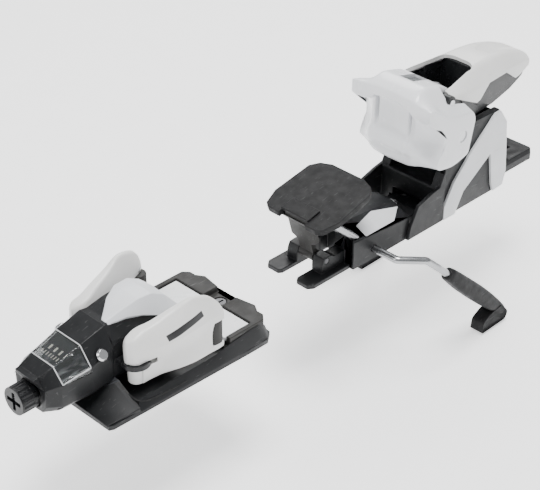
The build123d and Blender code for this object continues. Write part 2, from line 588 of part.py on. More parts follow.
with BuildPart() as lever_pin:
    for right in (30.2, -8.2):
        rod(side(right), LEVER_X, LEVER_Z, 2.5, 22)
save(lever_pin, "lever_pin")


# ---- brake -----------------------------------------------------------------------------------
def wire(points, radius, bend):
    """Round wire along a bent line."""
    with BuildLine() as path:
        FilletPolyline(*points, radius=bend)
    with BuildSketch(Plane(path.line @ 0, z_dir=path.line % 0)) as ring:
        Circle(radius)
    sweep(ring.sketch, path=path.line)


DROP = radians(43.5)  # slope of the arms, down towards the tail


def down(distance):
    """A point in x and z that far along the arm's slope, from where it leaves the side of the ski."""
    return 214 + distance * cos(DROP), -1 - distance * sin(DROP)


for hand, side_name in ((-1, "left"), (1, "right")):
    foot_x, foot_z = down(112)
    with BuildPart() as brake_arm:
        wire([(152, hand * 13.2, 42), (152, hand * 20, 42), (ARM_X, hand * 20, ARM_Z),
              (ARM_X, hand * 46, ARM_Z), (207, hand * 58.6, 5.4), (down(4)[0], hand * ARM_SPREAD, down(4)[1]),
              (foot_x, hand * ARM_SPREAD, foot_z), (foot_x - 22, hand * ARM_SPREAD, foot_z - 3)],
             WIRE_R - 0.05, 3.6)
    save(brake_arm, f"brake_arm_{side_name}")
    with BuildPart() as brake_grip:
        # a flat-sided sleeve with a hooked foot, moulded over the wire
        low, high = sorted((hand * (ARM_SPREAD - 6.4), hand * (ARM_SPREAD + 6.4)))
        a, b = down(20), down(117)
        slab(side(high), [(a[0] + 3.2, a[1] + 6.2), (a[0] - 4.6, a[1] - 2.4),
                          (down(86)[0] - 6, down(86)[1] - 4),
                          (foot_x - 27, foot_z - 3), (foot_x - 27, foot_z - 8.4), (foot_x - 8, foot_z - 9),
                          (b[0] + 2, b[1] - 3), (b[0] + 4.6, b[1] + 4)], high - low)
    save(brake_grip, f"brake_grip_{side_name}")

with BuildPart() as brake_link:
    lean = Plane(origin=(LINK_X, 0, LINK_Z), x_dir=(0, 1, 0), z_dir=(32, 0, 9))
    reach = (32 ** 2 + 9 ** 2) ** 0.5
    with BuildSketch(lean.offset(-2)) as blade:
        with BuildLine():
            Polyline((-6.5, 0), (-6.5, 12), (-11.6, 15), (-11.6, reach), (11.6, reach), (11.6, 15), (6.5, 12),
                     (6.5, 0), close=True)
        make_face()
    extrude(blade.sketch, amount=4)
    rod(side(6.5), LINK_X, LINK_Z, 4.2, 13)
    rod(side(11.6), PAD_PIN_X, PAD_PIN_Z, 4.0, 23.2)
    rod(side(20), LINK_X, LINK_Z, 2.05, 40, mode=Mode.SUBTRACT)
    rod(side(20), PAD_PIN_X, PAD_PIN_Z, 2.05, 40, mode=Mode.SUBTRACT)
save(brake_link, "brake_link")

with BuildPart() as link_pins:
    rod(side(16.6), LINK_X, LINK_Z, 2.0, 33.2)
save(link_pins, "link_pin")

with BuildPart() as brake_pad:
    # drawn flat in the pad's own plane, with the hinge pin at its origin
    tilted = Plane(origin=(PAD_PIN_X, 0, PAD_PIN_Z),
                   x_dir=(cos(radians(PAD_TILT)), 0, sin(radians(PAD_TILT))),
                   z_dir=(-sin(radians(PAD_TILT)), 0, cos(radians(PAD_TILT))))
    outline = [(-8.4, 22), (-5.6, 26.5), (7, 30.4), (40, 29), (46.4, 24), (49.8, 15)]
    slab(tilted.offset(1.1), both(outline), 4.7)
    slab(tilted.offset(5.8), both(outline), 1.8, taper=35)
    # notch for the link, and the ears and cam ribs underneath
    slab(tilted.offset(-20), both([(-12, 12), (6.4, 12)]), 26.4, mode=Mode.SUBTRACT)
    rail = Plane(origin=(PAD_PIN_X, 0, PAD_PIN_Z), x_dir=tilted.x_dir, z_dir=(0, -1, 0))
    for hand in (1, -1):
        low, high = sorted((hand * 17.4, hand * 22.6))
        slab(rail.offset(-high), [(12.9, 2), (13.4, -3.0), (14.9, -5.2), (16.6, -6.9), (18.4, -7.6),
                                  (22, -7.4), (26, -5.4), (36, 2)], high - low)
        low, high = sorted((hand * 12.3, hand * 16.4))
        slab(rail.offset(-high), [(-4, 2), (-4, -1), (-2, -3.6), (2, -3.6), (4.4, -1), (5, 2)], high - low)
    rod(rail.offset(-20), 0, 0, 2.02, 40, mode=Mode.SUBTRACT)
save(brake_pad, "brake_pad")

with BuildPart() as pad_pin:
    rod(side(16.3), PAD_PIN_X, PAD_PIN_Z, 2.0, 32.6)
save(pad_pin, "pad_pin")
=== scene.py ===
# %% [markdown]
# # An alpine ski binding, dressed over its engineering model
# The real thing is two units on one ski. The toe unit holds the boot's toe between two white wings
# and the heel unit closes a white cup over the boot's heel, with a brake that swings down when the
# boot leaves. The engineering model already holds every size and joint. It could be shown bare, but
# machined solids have knife edges and no grain, so this file gives each piece rounded edges, curved
# skins where the real ones are curved, and a finish of its own. Lengths are written in millimetres.

# %% Load the engineering model
import json
from math import radians

import bmesh
import bpy
import numpy as np
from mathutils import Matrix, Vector


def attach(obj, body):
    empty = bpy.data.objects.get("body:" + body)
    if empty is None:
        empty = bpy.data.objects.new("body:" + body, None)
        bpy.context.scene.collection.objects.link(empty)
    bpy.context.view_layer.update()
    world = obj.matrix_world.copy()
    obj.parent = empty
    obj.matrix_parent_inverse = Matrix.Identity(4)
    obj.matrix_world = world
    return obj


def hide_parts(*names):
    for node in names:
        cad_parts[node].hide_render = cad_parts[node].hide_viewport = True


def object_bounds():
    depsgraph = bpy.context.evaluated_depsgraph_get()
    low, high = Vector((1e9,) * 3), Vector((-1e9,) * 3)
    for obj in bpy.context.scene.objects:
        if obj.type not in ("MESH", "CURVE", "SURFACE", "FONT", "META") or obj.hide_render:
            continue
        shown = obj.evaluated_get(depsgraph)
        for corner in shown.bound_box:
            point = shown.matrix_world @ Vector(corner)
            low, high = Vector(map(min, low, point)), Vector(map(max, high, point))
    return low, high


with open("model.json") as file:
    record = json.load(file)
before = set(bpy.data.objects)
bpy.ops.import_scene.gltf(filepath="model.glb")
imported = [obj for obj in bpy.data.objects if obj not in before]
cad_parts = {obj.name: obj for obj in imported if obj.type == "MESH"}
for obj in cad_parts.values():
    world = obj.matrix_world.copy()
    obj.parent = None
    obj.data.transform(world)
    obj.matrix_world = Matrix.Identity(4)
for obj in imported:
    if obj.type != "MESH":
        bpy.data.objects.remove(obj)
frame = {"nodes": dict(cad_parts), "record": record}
CAD_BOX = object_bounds()
MM = 0.001

# %% [markdown]
# ## Camera
# A long lens a metre away keeps the two units nearly the same size, as in a catalogue picture. It
# could be placed by eye in the viewport; a point to stand at and a point to look at say the same
# thing in two lines and give the same picture every time.

# %% Camera
EYE, TARGET = Vector((-0.5237, -0.6350, 0.6187)), Vector((0.150, 0.0387, 0.0))
lens = bpy.data.cameras.new("eye")
lens.sensor_width, lens.lens, lens.clip_start = 36, 106.07, 0.01
camera = bpy.data.objects.new("eye", lens)
camera.location = EYE
camera.rotation_euler = (TARGET - EYE).to_track_quat("-Z", "Y").to_euler()
bpy.context.scene.collection.objects.link(camera)
bpy.context.scene.camera = camera
print("camera", round((TARGET - EYE).length, 3), "m away")

# %% [markdown]
# ## Studio
# Small glossy products are lit by large soft boxes, so that highlights are broad and shadows faint.
# One sheet of light hangs overhead, one stands before the toe's nose and one behind the heel, where
# it draws the rims. A pale sky fills what they miss.

# %% Lights and sky
def softbox(name, place, power, size):
    """A square area light at place, in metres, turned towards the middle of the binding."""
    light = bpy.data.lights.new(name, "AREA")
    light.energy, light.size = power, size
    lamp = bpy.data.objects.new(name, light)
    lamp.location = place
    lamp.rotation_euler = (TARGET - Vector(place)).to_track_quat("-Z", "Y").to_euler()
    bpy.context.scene.collection.objects.link(lamp)


softbox("key", (0.10, -0.15, 1.60), 34, 0.7)
softbox("side", (-1.30, 0.35, 0.85), 9, 0.8)
softbox("rim", (0.95, 0.75, 0.95), 9, 0.7)
sky = bpy.data.worlds.new("sky")
bpy.context.scene.world = sky
sky.use_nodes = True
sky.node_tree.nodes["Background"].inputs[0].default_value = (0.97, 0.985, 1.0, 1)
sky.node_tree.nodes["Background"].inputs[1].default_value = 0.55
print("three soft boxes and a pale sky")

# %% [markdown]
# ## Finishes
# Nearly everything is injection-moulded plastic. What separates the pieces is how the mould was
# finished: polished for the heel cup, spark-textured for the black parts. Each finish is one node
# tree with the same four ideas: a broad cloud that shifts the colour a little, a fine grain that
# only bends the light, thin scuffs in a paler tone, and a roughness that is never quite even.
# Patterns follow the object's own coordinates, so they stay put when a piece moves.

# %% Node helpers
def tree_of(name):
    """A new material and its cleared node tree."""
    made = bpy.data.materials.new(name)
    made.use_nodes = True
    made.node_tree.nodes.clear()
    return made, made.node_tree


def noise(tree, scale, detail=3.0, stretch=(1, 1, 1)):
    """Noise of the given scale per metre on the object's coordinates, stretched along each axis."""
    where = tree.nodes.new("ShaderNodeTexCoord")
    fit = tree.nodes.new("ShaderNodeMapping")
    fit.inputs["Scale"].default_value = stretch
    made = tree.nodes.new("ShaderNodeTexNoise")
    made.inputs["Scale"].default_value = scale
    made.inputs["Detail"].default_value = detail
    tree.links.new(where.outputs["Object"], fit.inputs["Vector"])
    tree.links.new(fit.outputs["Vector"], made.inputs["Vector"])
    return made.outputs["Fac"]


def remap(tree, value, low, high, to_low, to_high):
    """The value moved from one span to another and clamped there."""
    made = tree.nodes.new("ShaderNodeMapRange")
    for socket, number in zip(("From Min", "From Max", "To Min", "To Max"), (low, high, to_low, to_high)):
        made.inputs[socket].default_value = number
    tree.links.new(value, made.inputs["Value"])
    return made.outputs["Result"]


def blend(tree, share, first, second):
    """A colour between first and second. Either may be numbers or another node's output."""
    made = tree.nodes.new("ShaderNodeMix")
    made.data_type = "RGBA"
    for socket, colour in ((made.inputs[6], first), (made.inputs[7], second)):
        if isinstance(colour, tuple):
            socket.default_value = (*colour, 1)
        else:
            tree.links.new(colour, socket)
    if isinstance(share, float):
        made.inputs[0].default_value = share
    else:
        tree.links.new(share, made.inputs[0])
    return made.outputs[2]


# %% Moulded plastic and metal
def moulded(name, colour, rough, grain=0.0, pitch=900, cloud=0.12, scuff=0.0, coat=0.0, metal=0.0,
            stretch=(1, 1, 1), relief=None, paint=None):
    """Cloud-tinted colour, scuffs thinner than a hair, uneven roughness and a fine grain as bump.

    grain is the bump's depth in millimetres and pitch its scale per metre; stretch draws the grain out.
    relief(tree) may return a height, in millimetres, and paint(tree, colour) a colour laid over all.
    """
    made, tree = tree_of(name)
    shader = tree.nodes.new("ShaderNodeBsdfPrincipled")
    out = tree.nodes.new("ShaderNodeOutputMaterial")
    tree.links.new(shader.outputs[0], out.inputs[0])
    darker = tuple(c * (1 - cloud) for c in colour)
    lighter = tuple(min(1.0, c * (1 + cloud)) for c in colour)
    skin = blend(tree, remap(tree, noise(tree, 38, 4), 0.35, 0.65, 0, 1), darker, lighter)
    if scuff:
        pale = tuple(min(1.0, c * 0.5 + 0.35) for c in colour) if max(colour) < 0.4 else \
            tuple(c * 0.62 for c in colour)
        scratches = remap(tree, noise(tree, 420, 2, (0.22, 2.4, 1.3)), 0.66, 0.72, 0, scuff)
        skin = blend(tree, scratches, skin, pale)
    if paint:
        skin = paint(tree, skin)
    tree.links.new(skin, shader.inputs["Base Color"])
    spread = remap(tree, noise(tree, 150, 5, stretch), 0.3, 0.7, max(0.02, rough * 0.82),
                   min(1.0, rough * 1.2))
    tree.links.new(spread, shader.inputs["Roughness"])
    shader.inputs["Metallic"].default_value = metal
    shader.inputs["Specular IOR Level"].default_value = 0.26 if max(colour) < 0.2 else 0.5
    shader.inputs["Coat Weight"].default_value = coat
    shader.inputs["Coat Roughness"].default_value = 0.12
    height = None
    if grain:
        height = remap(tree, noise(tree, pitch, 2, stretch), 0.2, 0.8, 0, grain)
    if relief:
        deep = relief(tree)
        if height is None:
            height = deep
        else:
            total = tree.nodes.new("ShaderNodeMath")
            tree.links.new(height, total.inputs[0])
            tree.links.new(deep, total.inputs[1])
            height = total.outputs[0]
    if height is not None:
        bump = tree.nodes.new("ShaderNodeBump")
        bump.inputs["Strength"].default_value = 1.0
        bump.inputs["Distance"].default_value = MM
        tree.links.new(height, bump.inputs["Height"])
        tree.links.new(bump.outputs[0], shader.inputs["Normal"])
    return made


GLOSS_WHITE = moulded("gloss_white", (0.80, 0.81, 0.83), 0.24, grain=0.010, pitch=260, cloud=0.02,
                      scuff=0.10, coat=0.35)
COOL_GREY = moulded("cool_grey", (0.70, 0.715, 0.74), 0.38, grain=0.012, pitch=700, cloud=0.03, scuff=0.14)
WARM_WHITE = moulded("warm_white", (0.78, 0.775, 0.76), 0.34, grain=0.012, pitch=700, cloud=0.03, scuff=0.16,
                     coat=0.15)
TRIM_WHITE = moulded("trim_white", (0.72, 0.73, 0.745), 0.42, grain=0.012, pitch=900, cloud=0.04, scuff=0.18)
CHARCOAL = moulded("charcoal", (0.0105, 0.011, 0.012), 0.40, grain=0.028, pitch=1500, cloud=0.16, scuff=0.10)
CHARCOAL_SMOOTH = moulded("charcoal_smooth", (0.0085, 0.009, 0.010), 0.30, grain=0.010, pitch=700, cloud=0.14,
                          scuff=0.12, coat=0.1)
GRAPHITE = moulded("graphite", (0.028, 0.0272, 0.026), 0.50, grain=0.034, pitch=1300, cloud=0.14, scuff=0.12)
RUBBER = moulded("rubber", (0.0085, 0.0085, 0.009), 0.60, grain=0.045, pitch=1100, cloud=0.18, scuff=0.06)
SLIDE_WHITE = moulded("slide_white", (0.80, 0.81, 0.82), 0.30, grain=0.010, pitch=500, cloud=0.03, scuff=0.30)
STEEL_WIRE = moulded("steel_wire", (0.36, 0.365, 0.375), 0.26, grain=0.012, pitch=520, cloud=0.10, scuff=0.25,
                     metal=1.0, stretch=(0.6, 0.6, 3.0))
BRIGHT_STEEL = moulded("bright_steel", (0.60, 0.61, 0.62), 0.27, grain=0.030, pitch=900, cloud=0.22,
                       scuff=0.3,
                       metal=1.0)
POLISHED = moulded("polished_steel", (0.60, 0.60, 0.61), 0.20, grain=0.004, pitch=900, cloud=0.05, metal=1.0)
DARK_STEEL = moulded("dark_steel", (0.10, 0.10, 0.105), 0.35, grain=0.01, pitch=900, cloud=0.1, metal=1.0)
SPRING_STEEL = moulded("spring_steel", (0.30, 0.30, 0.31), 0.38, grain=0.02, pitch=800, cloud=0.2, metal=1.0)
print("finishes", len(bpy.data.materials))

# %% [markdown]
# ## Putting pieces on the frame
# Every shown piece rides on one body of the model, stands for the solid it covers and names the
# finish slot it belongs to. Doing these three together keeps a piece from being forgotten.

# %% Mount a piece
BODY_OF = {node: body for body, nodes in frame["record"]["behaviour"]["bodies"].items() for node in nodes}


def mount(piece, finish, node, covers=True):
    """Give piece its finish, hang it on node's body and, if it covers the node, show it instead."""
    piece.data.materials.clear()
    piece.data.materials.append(finish)
    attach(piece, BODY_OF[node])
    if covers:
        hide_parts(node)
    return piece


# %% [markdown]
# ## Rounded copies of machined pieces
# A mould never leaves a knife edge: corners have a radius of a few tenths of a millimetre, and that
# radius is what catches the light. A copy of the solid's mesh is welded, its flat faces are joined
# and a Bevel modifier rolls every edge that turns by more than a few degrees.

# %% Bevelled copy
def bevelled(node, width, finish, name=None, turn=24, segments=2):
    """The node's own surface, welded, with edges sharper than turn degrees rolled to width."""
    skin = bpy.data.meshes.new(name or node + "_skin")
    work = bmesh.new()
    work.from_mesh(frame["nodes"][node].data)
    bmesh.ops.remove_doubles(work, verts=work.verts, dist=2e-6)
    bmesh.ops.dissolve_limit(work, angle_limit=radians(0.4), verts=work.verts, edges=work.edges)
    bmesh.ops.recalc_face_normals(work, faces=work.faces)
    work.to_mesh(skin)
    work.free()
    skin.shade_smooth()
    skin.set_sharp_from_angle(angle=radians(34))
    piece = bpy.data.objects.new(name or node + "_skin", skin)
    bpy.context.scene.collection.objects.link(piece)
    if width:
        roll = piece.modifiers.new("roll", "BEVEL")
        roll.width, roll.segments = width * MM, segments
        roll.limit_method, roll.angle_limit = "ANGLE", radians(turn)
        roll.use_clamp_overlap = False
        roll.harden_normals = True
    return mount(piece, finish, node)


# %% [markdown]
# ## Clear windows
# The scale windows are clear polycarbonate over a dark chamber. A full glass shader shows the
# chamber through the skin and keeps a sharp highlight on its bends.

# %% Clear plastic
def clear_plastic(name, tint):
    """Transmission with a little roughness that varies, so the skin has faint wipe marks."""
    made, tree = tree_of(name)
    shader = tree.nodes.new("ShaderNodeBsdfPrincipled")
    out = tree.nodes.new("ShaderNodeOutputMaterial")
    tree.links.new(shader.outputs[0], out.inputs[0])
    shader.inputs["Base Color"].default_value = (*tint, 1)
    shader.inputs["Transmission Weight"].default_value = 1.0
    shader.inputs["IOR"].default_value = 1.5
    tree.links.new(remap(tree, noise(tree, 300, 3, (1, 3, 1)), 0.35, 0.65, 0.01, 0.05),
                   shader.inputs["Roughness"])
    return made


GLASS = clear_plastic("clear_plastic", (0.82, 0.84, 0.84))

# %% [markdown]
# ## Surfaces worked out as arrays
# The white shells flow from one cross-section into the next. They could be pulled out of a box by
# hand, but a table of sections says the shape better: each row is an outline, its corners are
# rolled by a small curve, and a smooth curve carries every corner along the piece.

# %% Section tools
def rolled(corners, radius, steps=4):
    """Closed outlines (..., k, 2) with round corners.

    Each corner c becomes the quadratic curve (1-t)^2 a + 2t(1-t) c + t^2 b, where a and b lie on its
    two sides, radius away or at most 0.45 of the side.
    """
    def toward(shift):
        edge = np.roll(corners, shift, axis=-2) - corners
        length = np.linalg.norm(edge, axis=-1, keepdims=True)
        return corners + edge * np.minimum(radius / np.maximum(length, 1e-9), 0.45)
    a, b = toward(1)[..., None, :], toward(-1)[..., None, :]
    t = np.linspace(0, 1, steps)[:, None]
    curve = (1 - t) ** 2 * a + 2 * t * (1 - t) * corners[..., None, :] + t ** 2 * b
    return curve.reshape(*corners.shape[:-2], -1, 2)


def carried(stations, table, fine):
    """Rows of the table carried smoothly to the fine stations.

    Between two rows the curve is a cubic. Its slope at a row is the harmonic mean of the slopes on
    both sides where they agree in sign and zero where they don't, so it never swings past a row.
    """
    stations, table, fine = np.asarray(stations, float), np.asarray(table, float), np.asarray(fine, float)
    gap = np.diff(stations).reshape(-1, *[1] * (table.ndim - 1))
    secant = np.diff(table, axis=0) / gap
    before, after = secant[:-1], secant[1:]
    agree = before * after > 0
    middle = np.where(agree, 2 * before * after / np.where(agree, before + after, 1), 0)
    slope = np.concatenate([secant[:1], middle, secant[-1:]])
    row = np.clip(np.searchsorted(stations, fine, side="right") - 1, 0, len(stations) - 2)
    t = ((fine - stations[row]) / (stations[row + 1] - stations[row])).reshape(-1, *[1] * (table.ndim - 1))
    wide = gap[row]
    return ((2 * t ** 3 - 3 * t ** 2 + 1) * table[row] + (t ** 3 - 2 * t ** 2 + t) * wide * slope[row]
            + (3 * t ** 2 - 2 * t ** 3) * table[row + 1] + (t ** 3 - t ** 2) * wide * slope[row + 1])


def skinned(name, rings, sharp=32):
    """Closed surface through rings (n, m, 3), in millimetres, with a fan of triangles on each end ring.

    If the enclosed volume, the sum of a.(b x c)/6 over the triangles, comes out negative, every
    face is turned round, so that faces always point outwards.
    """
    n, m = rings.shape[:2]
    points = np.concatenate([rings.reshape(-1, 3), rings[:1].mean(1), rings[-1:].mean(1)]) * MM
    row, col = np.meshgrid(np.arange(n - 1), np.arange(m), indexing="ij")
    start, turn = row * m + col, row * m + (col + 1) % m
    quads = np.stack([start, turn, turn + m, start + m], -1).reshape(-1, 4)
    col, turn = np.arange(m), (np.arange(m) + 1) % m
    near = np.stack([turn, col, np.full(m, n * m)], 1)
    far = np.stack([col + (n - 1) * m, turn + (n - 1) * m, np.full(m, n * m + 1)], 1)
    triangles = np.concatenate([quads[:, :3], quads[:, [0, 2, 3]], near, far])
    a, b, c = (points[triangles[:, i]] for i in range(3))
    volume = np.einsum("ij,ij->", a, np.cross(b, c)) / 6
    if volume < 0:
        quads, near, far = quads[:, ::-1], near[:, ::-1], far[:, ::-1]
    mesh = bpy.data.meshes.new(name)
    mesh.from_pydata(points.tolist(), [], quads.tolist() + near.tolist() + far.tolist())
    mesh.shade_smooth()
    mesh.set_sharp_from_angle(angle=radians(sharp))
    piece = bpy.data.objects.new(name, mesh)
    bpy.context.scene.collection.objects.link(piece)
    return piece


def domed(rings, depth, steps=4):
    """The rings with each end rounded: extra rings shrink about the end's middle as depth(1 - cos)
    and step outwards as depth sin, over a quarter turn."""
    turn = np.linspace(0, np.pi / 2, steps + 1)[1:, None, None]

    def end(ring, inner):
        middle = ring.mean(0)
        out = middle - inner.mean(0)
        out = out / np.linalg.norm(out)
        reach = np.linalg.norm(ring - middle, axis=1).min()
        return middle + (ring - middle) * (1 - depth / max(reach, depth * 1.1) * (1 - np.cos(turn))) \
            + out * depth * np.sin(turn)
    return np.concatenate([end(rings[0], rings[1])[::-1], rings, end(rings[-1], rings[-2])])


def prism(name, outline, low, high, plane="xz"):
    """Straight prism on a closed outline (k, 2), from low to high along the axis that plane leaves out."""
    outline = np.asarray(outline, float)
    order = {"xz": (0, 2, 1), "yz": (1, 2, 0), "xy": (0, 1, 2)}[plane]
    rings = np.zeros((2, len(outline), 3))
    rings[..., order[0]], rings[..., order[1]] = outline[:, 0], outline[:, 1]
    rings[0, :, order[2]], rings[1, :, order[2]] = low, high
    return skinned(name, rings, sharp=20)


def disc(x, y, radius, sides=40):
    """Outline of a round: (x + r cos, y + r sin) over one turn."""
    turn = np.linspace(0, 2 * np.pi, sides, endpoint=False)
    return np.stack([x + radius * np.cos(turn), y + radius * np.sin(turn)], 1)


def carve(piece, *cutters, sharp=32):
    """Take the cutters away from the piece and leave one plain mesh behind."""
    for cutter in cutters:
        cut = piece.modifiers.new("cut", "BOOLEAN")
        cut.operation, cut.solver, cut.object = "DIFFERENCE", "EXACT", cutter
    seen = piece.evaluated_get(bpy.context.evaluated_depsgraph_get())
    mesh = bpy.data.meshes.new_from_object(seen)
    piece.modifiers.clear()
    piece.data = mesh
    mesh.shade_smooth()
    mesh.set_sharp_from_angle(angle=radians(sharp))
    for cutter in cutters:
        bpy.data.objects.remove(cutter)
    return piece


def tube(name, path, radius, sides=16):
    """Round profile carried along a path (n, 3) of points in millimetres.

    At each point the ring lies square to the mean of the two runs beside it; its first axis is that
    direction crossed with the least aligned world axis.
    """
    path = np.asarray(path, float)
    run = np.gradient(path, axis=0)
    run /= np.linalg.norm(run, axis=1, keepdims=True)
    world = np.eye(3)[np.argmin(np.abs(run).mean(0))]
    first = np.cross(run, world)
    first /= np.linalg.norm(first, axis=1, keepdims=True)
    second = np.cross(run, first)
    turn = np.linspace(0, 2 * np.pi, sides, endpoint=False)[None, :, None]
    radius = np.broadcast_to(np.asarray(radius, float), len(path))[:, None, None]
    around = np.cos(turn) * first[:, None] + np.sin(turn) * second[:, None]
    return skinned(name, path[:, None] + radius * around)


def along_x(fine, outline, hand=1):
    """Rings from outlines (y, z) at the stations fine along x; a hand of -1 mirrors them in y."""
    rings = np.concatenate([np.broadcast_to(fine[:, None, None], (*outline.shape[:2], 1)), outline], -1)
    return rings * (1, hand, 1)


# %% [markdown]
# ## Painted marks
# Bands and scale marks on the real pieces are pad-printed. A mask on the object's coordinates, in
# millimetres, prints them here: it stays crisp at any distance and adds no geometry.

# %% Masks on coordinates
def measured(tree, direction):
    """Distance in millimetres along a direction, from the object's coordinates."""
    where = tree.nodes.new("ShaderNodeTexCoord")
    dot = tree.nodes.new("ShaderNodeVectorMath")
    dot.operation = "DOT_PRODUCT"
    dot.inputs[1].default_value = tuple(1000 * c for c in direction)
    tree.links.new(where.outputs["Object"], dot.inputs[0])
    return dot.outputs["Value"]


def times(tree, a, b):
    """Product of two values."""
    made = tree.nodes.new("ShaderNodeMath")
    made.operation = "MULTIPLY"
    tree.links.new(a, made.inputs[0])
    tree.links.new(b, made.inputs[1])
    return made.outputs[0]


def between(tree, value, low, high, soft=0.15):
    """One between low and high, falling to zero over soft on either side."""
    return times(tree, remap(tree, value, low - soft, low + soft, 0, 1),
                 remap(tree, value, high - soft, high + soft, 1, 0))


def every(tree, value, pitch, wide):
    """One on stripes wide across that repeat every pitch."""
    made = tree.nodes.new("ShaderNodeMath")
    made.operation = "PINGPONG"
    tree.links.new(value, made.inputs[0])
    made.inputs[1].default_value = pitch / 2
    return remap(tree, made.outputs[0], wide / 2 - 0.08, wide / 2 + 0.08, 1, 0)

# %% [markdown]
# ## Side wings
# Each wing is a thick lever: a round hub on its pin, then a blade that widens and rises beside the
# boot, with a long leaf-shaped hollow on its flank and a fork for the release roller. A subdivided
# box would do for one wing; a table of sections serves both, with y taken from the ski's middle.

# %% Wing finish
def wing_band(tree, skin):
    """A plain dark band along the upper flank of both wings, rising rearwards."""
    rise = radians(14)
    along = measured(tree, (np.cos(rise), 0, np.sin(rise)))
    across = measured(tree, (-np.sin(rise), 0, np.cos(rise)))
    y = measured(tree, (0, 1, 0))
    flank = remap(tree, times(tree, y, y), 1150, 1180, 0, 1)
    band = times(tree, times(tree, between(tree, along, -4, 24), between(tree, across, 42.6, 46.8)), flank)
    return blend(tree, band, skin, (0.012, 0.012, 0.013))


WING_WHITE = moulded("wing_white", (0.77, 0.765, 0.75), 0.36, grain=0.012, pitch=700, cloud=0.025,
                     scuff=0.14, coat=0.15, paint=wing_band)

# %% Wings
HUB_X, HUB_Y, HUB_R = -31.0, 26.0, 7.5
ROLLER_X, ROLLER_Y = 25.1, 36
FORK_LOW, FORK_HIGH = 19.7, 37.3
SLOT_LOW = 26.2  # the housing's lug reaches into the hub above this height


def wing(name, hand):
    """Eight corners (|y|, z) at stations along x; the hub's first stations follow
    half-width = sqrt(r^2 - (x - x0)^2), so the front end is round."""
    nose = np.array([-38.3, -37.6, -36.2, -34.0])
    half = np.sqrt(HUB_R ** 2 - (nose - HUB_X) ** 2)
    drop = (HUB_R - half) * 0.55
    front = np.stack([np.stack([HUB_Y - half, np.full(4, 14.2)], 1),
                      np.stack([HUB_Y + half, np.full(4, 14.2)], 1),
                      np.stack([HUB_Y + half, np.full(4, 27.0)], 1),
                      np.stack([HUB_Y + half, np.full(4, 36.0)], 1),
                      np.stack([HUB_Y + half * 0.9, 44.6 - drop], 1),
                      np.stack([HUB_Y + half * 0.5, 48.0 - drop], 1),
                      np.stack([HUB_Y - half * 0.5, 48.0 - drop], 1),
                      np.stack([HUB_Y - half, 43.0 - drop], 1)], 1)
    blade = np.array([
        [(18.9, 14.1), (32.8, 14.1), (33.0, 26.5), (33.8, 38.0),
         (32.4, 46.0), (28.6, 49.2), (21.6, 49.2), (18.9, 42)],
        [(21.0, 14.1), (33.6, 14.1), (33.6, 26.0), (37.6, 38.8),
         (35.6, 46.4), (31.2, 52.0), (25.0, 52.0), (21.2, 42)],
        [(25.0, 14.3), (37.4, 14.2), (36.2, 28.0), (41.2, 40.4),
         (38.4, 48.4), (33.0, 56.2), (28.0, 56.0), (25.2, 42)],
        [(30.6, 16.6), (40.0, 14.6), (38.0, 29.0), (42.0, 41.6),
         (39.8, 50.6), (35.6, 60.2), (32.0, 59.8), (30.2, 43)],
        [(33.0, 17.8), (40.5, 15.0), (39.8, 30.0), (42.0, 42.2),
         (40.4, 49.2), (37.4, 57.4), (33.6, 57.0), (32.6, 43)],
        [(35.4, 17.9), (40.7, 15.0), (41.2, 29.0), (41.8, 42.2),
         (41.2, 46.4), (39.4, 51.2), (35.8, 50.8), (35.2, 42)],
        [(37.0, 18.0), (40.6, 15.4), (41.1, 29.0), (41.3, 41.0),
         (41.0, 43.2), (40.0, 45.2), (38.0, 45.0), (37.1, 40)]])
    stations = np.concatenate([nose, [-29, -18, -5, 8, 19, 26, 29.2]])
    table = np.concatenate([front, blade])
    fine = np.concatenate([nose, np.linspace(-32, 29.2, 64)])
    corners = carried(stations, table, fine)
    radius = np.array([1.0, 1.4, 8.0, 1.0, 4.0, 2.0, 2.4, 4.0])[:, None]
    outline = rolled(corners, radius, 6)
    piece = skinned(name, domed(along_x(fine, outline, hand), 0.7), sharp=38)
    gap = prism("gap", disc(HUB_X, hand * HUB_Y, 13.4, 48), SLOT_LOW, 30.1, "xy")
    turn = np.linspace(np.pi / 2, 3 * np.pi / 2, 20)
    heel = np.stack([HUB_X + 5.6 * np.cos(turn), hand * HUB_Y + 5.6 * np.sin(turn)], 1)
    rim = [(HUB_X, hand * HUB_Y + 20), *heel.tolist(), (HUB_X, hand * HUB_Y - 20), (-50, hand * HUB_Y - 20),
           (-50, hand * HUB_Y + 20)]
    foot = prism("foot", rim, 10, 26.3, "xy")
    fork = prism("fork", disc(ROLLER_X, hand * ROLLER_Y, 6.6, 48), FORK_LOW, FORK_HIGH, "xy")
    mouth = [(ROLLER_X, hand * 28), (34, hand * 28), (34, hand * 46), (ROLLER_X, hand * 46)]
    mouth = prism("mouth", mouth, FORK_LOW, FORK_HIGH, "xy")
    bore = prism("bore", disc(HUB_X, hand * HUB_Y, 3.1, 24), 10, 42, "xy")
    return carve(piece, gap, foot, fork, mouth, bore, sharp=38)


for side_name, hand in (("wing_left", -1), ("wing_right", 1)):
    piece = mount(wing(side_name + "_shell", hand), WING_WHITE, side_name)
    liner = prism(side_name + "_liner", disc(HUB_X, hand * HUB_Y, 9.4, 48), 26.5, 29.8, "xy")
    mount(liner, CHARCOAL_SMOOTH, side_name, covers=False)
    print(piece.name, len(piece.data.polygons), "faces")

# %% [markdown]
# ## Toe cap
# The pale cap over the rear of the toe is faceted like cut stone: an oblique front edge, a roof that
# climbs rearwards and a tail that turns down. The black roof it lies on shows in front of it. Hard
# facets need only short rolled corners.

